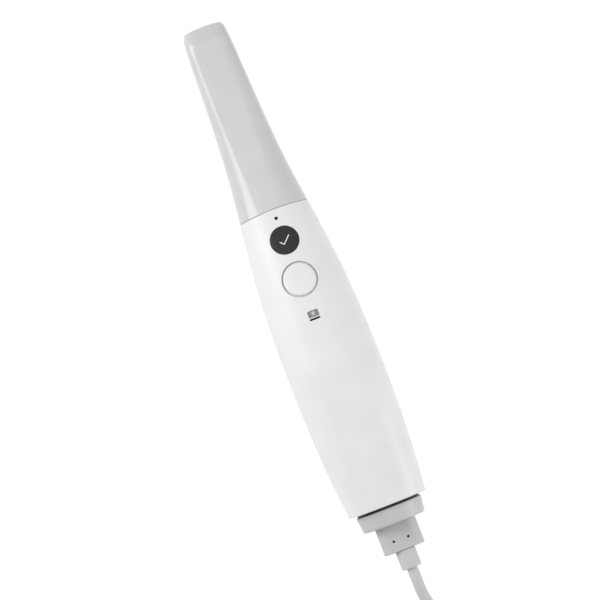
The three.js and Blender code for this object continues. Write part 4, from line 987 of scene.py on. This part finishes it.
HANK_COLUMNS = 3
HANK_OUTSIDE = (HANK_HIGH.x - HANK_LOW.x) / 2
HANK_FOLD = HANK_OUTSIDE - (HANK_COLUMNS - 0.5) * CORD_DIAMETER
HANK_NEAR = RELIEF_LOW.y - HANK_HIGH.y + HANK_OUTSIDE
HANK_RUN = HANK_HIGH.y - HANK_LOW.y - 2 * HANK_OUTSIDE
HANK_FAR = HANK_NEAR + HANK_RUN
LOW_LAYER = CORD_DIAMETER / 2
HIGH_LAYER = CORD_DIAMETER * 3 / 2
TIE_MIDDLE = RELIEF_LOW.y - (TIE_LOW.y + TIE_HIGH.y) / 2
TIE_LIFT = 0.85
LEAD_ROUTE = [
    (0, 0, AXIS_HEIGHT),
    (0, 6, AXIS_HEIGHT),
    (0.1, 12, 23.2),
    (1.1, 18, 22.0),
    (3.0, 24, 20.1),
    (5.4, 30, 17.6),
    (7.9, 36, 15.0),
    (10.6, 43, 11.9),
    (13.2, 50, 9.6),
    (15.2, 57, 8.3),
    (16.1, 64, 7.95),
]
TAIL_ROUTE = [
    (16.0, 58, 2.8),
    (14.6, 64, 3.1),
    (12.7, 70, 3.3),
    (10.3, 76, 3.4),
    (8.7, 82, 3.5),
    (6.2, 90, 3.5),
    (4.5, 98, 3.5),
    (4.0, 104, 3.5),
    (4.0, 109.5, 3.5),
]


def straight(x, start, end, low, high=None, drop=None):
    """Points along one run of the hank. drop gives where the run comes down to the lower layer."""
    points = []
    for back in spread(start, end, round(abs(end - start) / 6)):
        z = low
        if drop:
            share = min(1, max(0, (back - drop[0]) / (drop[1] - drop[0])))
            z = low + (high - low) * share * share * (3 - 2 * share)
        points.append((x, back, z + TIE_LIFT * 2.7 ** -(((back - TIE_MIDDLE) / 11) ** 2)))
    return points


def fold(from_x, to_x, back, z, way):
    """Points round a fold between two runs, without its ends."""
    middle, radius = (from_x + to_x) / 2, abs(to_x - from_x) / 2
    side = 1 if from_x > to_x else -1
    turns = [pi * i / 10 for i in range(1, 10)]
    return [(middle + side * radius * cos(t), back + way * radius * sin(t), z) for t in turns]


def hank_route():
    lanes = [HANK_FOLD + i * CORD_DIAMETER for i in range(HANK_COLUMNS)]
    # Each turn: lane and height of its run on the right, then of its run on the left.
    turns = [
        (0, HIGH_LAYER, 0, HIGH_LAYER),
        (1, HIGH_LAYER, 1, HIGH_LAYER),
        (2, HIGH_LAYER, 2, LOW_LAYER),
        (2, LOW_LAYER, 1, LOW_LAYER),
        (1, LOW_LAYER, 0, LOW_LAYER),
    ]
    points = []
    for i, (right, up, left, down) in enumerate(turns):
        start = LEAD_ROUTE[-1][1] + 6 if i == 0 else HANK_NEAR
        points += straight(lanes[right], start, HANK_FAR, up)
        points += fold(lanes[right], -lanes[left], HANK_FAR, up, 1)
        drop = (HANK_FAR - 2, HANK_FAR - 40) if up != down else None
        points += straight(-lanes[left], HANK_FAR, HANK_NEAR, up, down, drop)
        after = turns[i + 1][0] if i + 1 < len(turns) else 0
        points += fold(-lanes[left], lanes[after], HANK_NEAR, down, -1)
    return points


def build_cord():
    points = LEAD_ROUTE + hank_route() + [(HANK_FOLD, HANK_NEAR, LOW_LAYER)] + TAIL_ROUTE
    curve = bpy.data.curves.new("cord", "CURVE")
    curve.dimensions = "3D"
    spline = curve.splines.new("BEZIER")
    spline.bezier_points.add(len(points) - 1)
    for knot, (x, back, z) in zip(spline.bezier_points, points):
        knot.co = Vector((x, RELIEF_LOW.y - back, z)) * MM
        knot.handle_left_type = knot.handle_right_type = "AUTO"
    spline.resolution_u = 5
    curve.bevel_depth = CORD_DIAMETER / 2 * MM
    curve.bevel_resolution = 7
    curve.use_fill_caps = True
    curve.materials.append(jacket.material)
    made = bpy.data.objects.new("cord", curve)
    bpy.context.collection.objects.link(made)
    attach(made, "cable")
    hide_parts("cord_lead", "cord_hank", "cord_tail")
    places = [Vector(p) for p in points]
    length = sum((b - a).length for a, b in zip(places, places[1:]))
    return made, length * MM


def build_tie():
    made = Skin()
    low, high = TIE_LOW, TIE_HIGH
    size = (high.x - low.x, high.z - low.z)
    middle = ((low.x + high.x) / 2, (low.z + high.z) / 2 - AXIS_HEIGHT)
    thick = 0.6
    start, end = station_of(high.y), station_of(low.y)
    rows = []
    for station, inset in [(start, 0.35), (start, 0.12), (start + 0.12, 0), (end - 0.12, 0), (end, 0.12), (end, 0.35)]:
        rows.append(block_row(station, size, 0.9, -inset, middle, 5, 12))
    for station in (end, start):
        rows.append(block_row(station, size, 0.9, -thick, middle, 5, 12))
    numbers = [made.row(row) for row in rows]
    for a, b in zip(numbers, numbers[1:] + numbers[:1]):
        made.join(a, b)
    made.piece("tie_strap", strap, "cable", "black_plastic", ["cord_tie"])
    tab = Skin()
    top = size[1] / 2 + middle[1]
    shape = rectangle((22, end - start - 1.2), 3.5, 8, 3)
    centre = ((start + end) / 2, 6)
    numbers = []
    for grow, up in ((0, 0.05), (0, 0.45), (-0.15, 0.6), (-1.5, 0.62)):
        numbers.append(tab.row([at(centre[1] + x, centre[0] + y, top + up) for x, y in shape(grow)]))
    for a, b in zip(numbers, numbers[1:]):
        tab.join(a, b)
    tab.fan(numbers[-1], at(centre[1], centre[0], top + 0.62))
    tab.fan(numbers[0], at(centre[1], centre[0], top + 0.05))
    tab.piece("tie_tab", strap, "cable", "black_plastic")


def build_hub_plug():
    size = (HUB_HIGH.x - HUB_LOW.x, HUB_HIGH.z - HUB_LOW.z)
    middle = ((HUB_LOW.x + HUB_HIGH.x) / 2, (HUB_LOW.z + HUB_HIGH.z) / 2 - AXIS_HEIGHT)
    start, end = station_of(HUB_HIGH.y), station_of(HUB_LOW.y)
    corner = size[1] * 0.35
    hole_size = (CORD_DIAMETER + 0.2, CORD_DIAMETER + 0.2)
    rows = [block_row(start + 1.0, hole_size, hole_size[0] / 2 - 0.01, 0, middle)]
    rows.append(block_row(start, hole_size, hole_size[0] / 2 - 0.01, 0, middle))
    rows += [block_row(start + end_in, size, corner, -side, middle) for side, end_in in rounded(0.8)[::-1]]
    for station in spread(start + 2, end - 6, 24):
        ridge = 0.18 if 4 < station - start < 15 and int((station - start) * 1.3) % 2 else 0.0
        rows.append(block_row(station, size, corner, -ridge, middle))
    rows += [block_row(end - end_in, size, corner, -side, middle) for side, end_in in rounded(0.6)]
    shell_size = (HUB_SHELL_HIGH.x - HUB_SHELL_LOW.x, HUB_SHELL_HIGH.z - HUB_SHELL_LOW.z)
    shell_corner = shell_size[1] * 0.48
    rows += [block_row(end, shell_size, shell_corner, 0.1, middle), block_row(end - 0.6, shell_size, shell_corner, 0.05, middle)]
    loft(rows).piece("hub_plug_grip", plug_grey, "cable", "grey_collar", ["hub_plug_body"])
    front = station_of(HUB_SHELL_LOW.y)
    rows = [block_row(end - 0.5, shell_size, shell_corner, 0, middle)]
    rows += [block_row(s, shell_size, shell_corner, 0, middle) for s in spread(end + 1, front - 0.3, 3)]
    rows += [block_row(front - 0.05, shell_size, shell_corner, -0.05, middle)]
    rows += [block_row(front, shell_size, shell_corner, -0.15, middle)]
    rows += [block_row(front, shell_size, shell_corner, -0.3, middle), block_row(front - 0.1, shell_size, shell_corner, -0.4, middle)]
    rows += [block_row(front - 5.5, shell_size, shell_corner, -0.4, middle)]
    shell = loft(rows, end_cap=at(middle[0], front - 5.5, middle[1]))
    shell.piece("hub_plug_mouth", steel, "cable", "steel", ["hub_plug_shell"])
    tongue = [block_row(s, (6.7, 0.7), 0.2, 0, middle, 3, 3) for s in (front - 5.4, front - 0.9)]
    loft(tongue, end_cap=at(middle[0], front - 0.9, middle[1])).piece(
        "hub_plug_tongue", black_plastic, "cable", "black_plastic"
    )


# ---- Floor and lights ------------------------------------------------------------------------------


def seen_otherwise(tree, plain, seen, output):
    """One shader for the light that falls on the object, another for what shows the background."""
    path = tree.nodes.new("ShaderNodeLightPath")
    mix = tree.nodes.new("ShaderNodeMixShader")
    shown = path.outputs["Is Camera Ray"]
    for ray in ("Is Glossy Ray", "Is Transmission Ray"):
        either = tree.nodes.new("ShaderNodeMath")
        either.operation = "MAXIMUM"
        tree.links.new(shown, either.inputs[0])
        tree.links.new(path.outputs[ray], either.inputs[1])
        shown = either.outputs[0]
    tree.links.new(shown, mix.inputs["Fac"])
    tree.links.new(plain, mix.inputs[1])
    tree.links.new(seen, mix.inputs[2])
    tree.links.new(mix.outputs[0], output.inputs["Surface"])


def build_floor():
    """A pale table top. To the eye it glows nearly white, and the object's shadow stays on it."""
    mesh = bpy.data.meshes.new("floor")
    reach = 3.0
    corners = [(-reach, -reach, 0), (reach, -reach, 0), (reach, reach, 0), (-reach, reach, 0)]
    mesh.from_pydata(corners, [], [(0, 1, 2, 3)])
    floor = bpy.data.objects.new("floor", mesh)
    bpy.context.collection.objects.link(floor)
    pale = Shader("floor", 0.9)
    mottle = pale.ramp(pale.noise(300, 2), grey(0.8), grey(0.84))
    pale.feed(mottle, pale.surface.inputs["Base Color"])
    paper = pale.node("ShaderNodeBsdfDiffuse", Color=(FLOOR_SHADOW, FLOOR_SHADOW, FLOOR_SHADOW, 1))
    glow = pale.node("ShaderNodeEmission", Color=(1, 1, 1, 1), Strength=FLOOR_GLOW)
    both = pale.tree.nodes.new("ShaderNodeAddShader")
    pale.feed(paper.outputs[0], both.inputs[0])
    pale.feed(glow.outputs[0], both.inputs[1])
    output = pale.tree.nodes["Material Output"]
    seen_otherwise(pale.tree, pale.surface.outputs[0], both.outputs[0], output)
    mesh.materials.append(pale.material)


FLOOR_SHADOW = 0.28
FLOOR_GLOW = 0.83
WORLD_STRENGTH = 0.55
LAMPS = {  # across the picture, up the picture, above the table, size, watts
    "key": (-0.95, 0.2, 0.7, 0.7, 7.2),
    "fill": (1.1, -0.1, 0.25, 0.5, 4.2),
    "top": (-0.1, 0.2, 1.5, 1.2, 3.2),
}


def build_lights():
    world = bpy.data.worlds.new("studio")
    world.use_nodes = True
    bpy.context.scene.world = world
    tree = world.node_tree
    background = tree.nodes["Background"]
    background.inputs["Color"].default_value = (1, 1, 1, 1)
    background.inputs["Strength"].default_value = WORLD_STRENGTH
    white = tree.nodes.new("ShaderNodeBackground")
    white.inputs["Color"].default_value = (1, 1, 1, 1)
    white.inputs["Strength"].default_value = 1.0
    seen_otherwise(tree, background.outputs[0], white.outputs[0], tree.nodes["World Output"])
    target = at(*VIEW_MIDDLE, 0)
    turn = radians(VIEW_TURN)
    right = Vector((cos(turn), sin(turn), 0))
    up = Vector((-sin(turn), cos(turn), 0))
    for name, (across, along, high, size, power) in LAMPS.items():
        data = bpy.data.lights.new(name, "AREA")
        data.size = size
        data.energy = power
        lamp = bpy.data.objects.new(name, data)
        lamp.location = target + right * across + up * along + Vector((0, 0, high))
        lamp.rotation_euler = (target - lamp.location).to_track_quat("-Z", "Y").to_euler()
        bpy.context.collection.objects.link(lamp)


# ---- Everything is made here -----------------------------------------------------------------------

cord, cord_length = build_cord()
build_hub_plug()
build_tie()
relief = build_relief()
build_tip()
build_cover(1)
build_cover(-1)
build_controls()
build_marks()
build_nose()
build_collar()
build_plug()
build_floor()
build_lights()
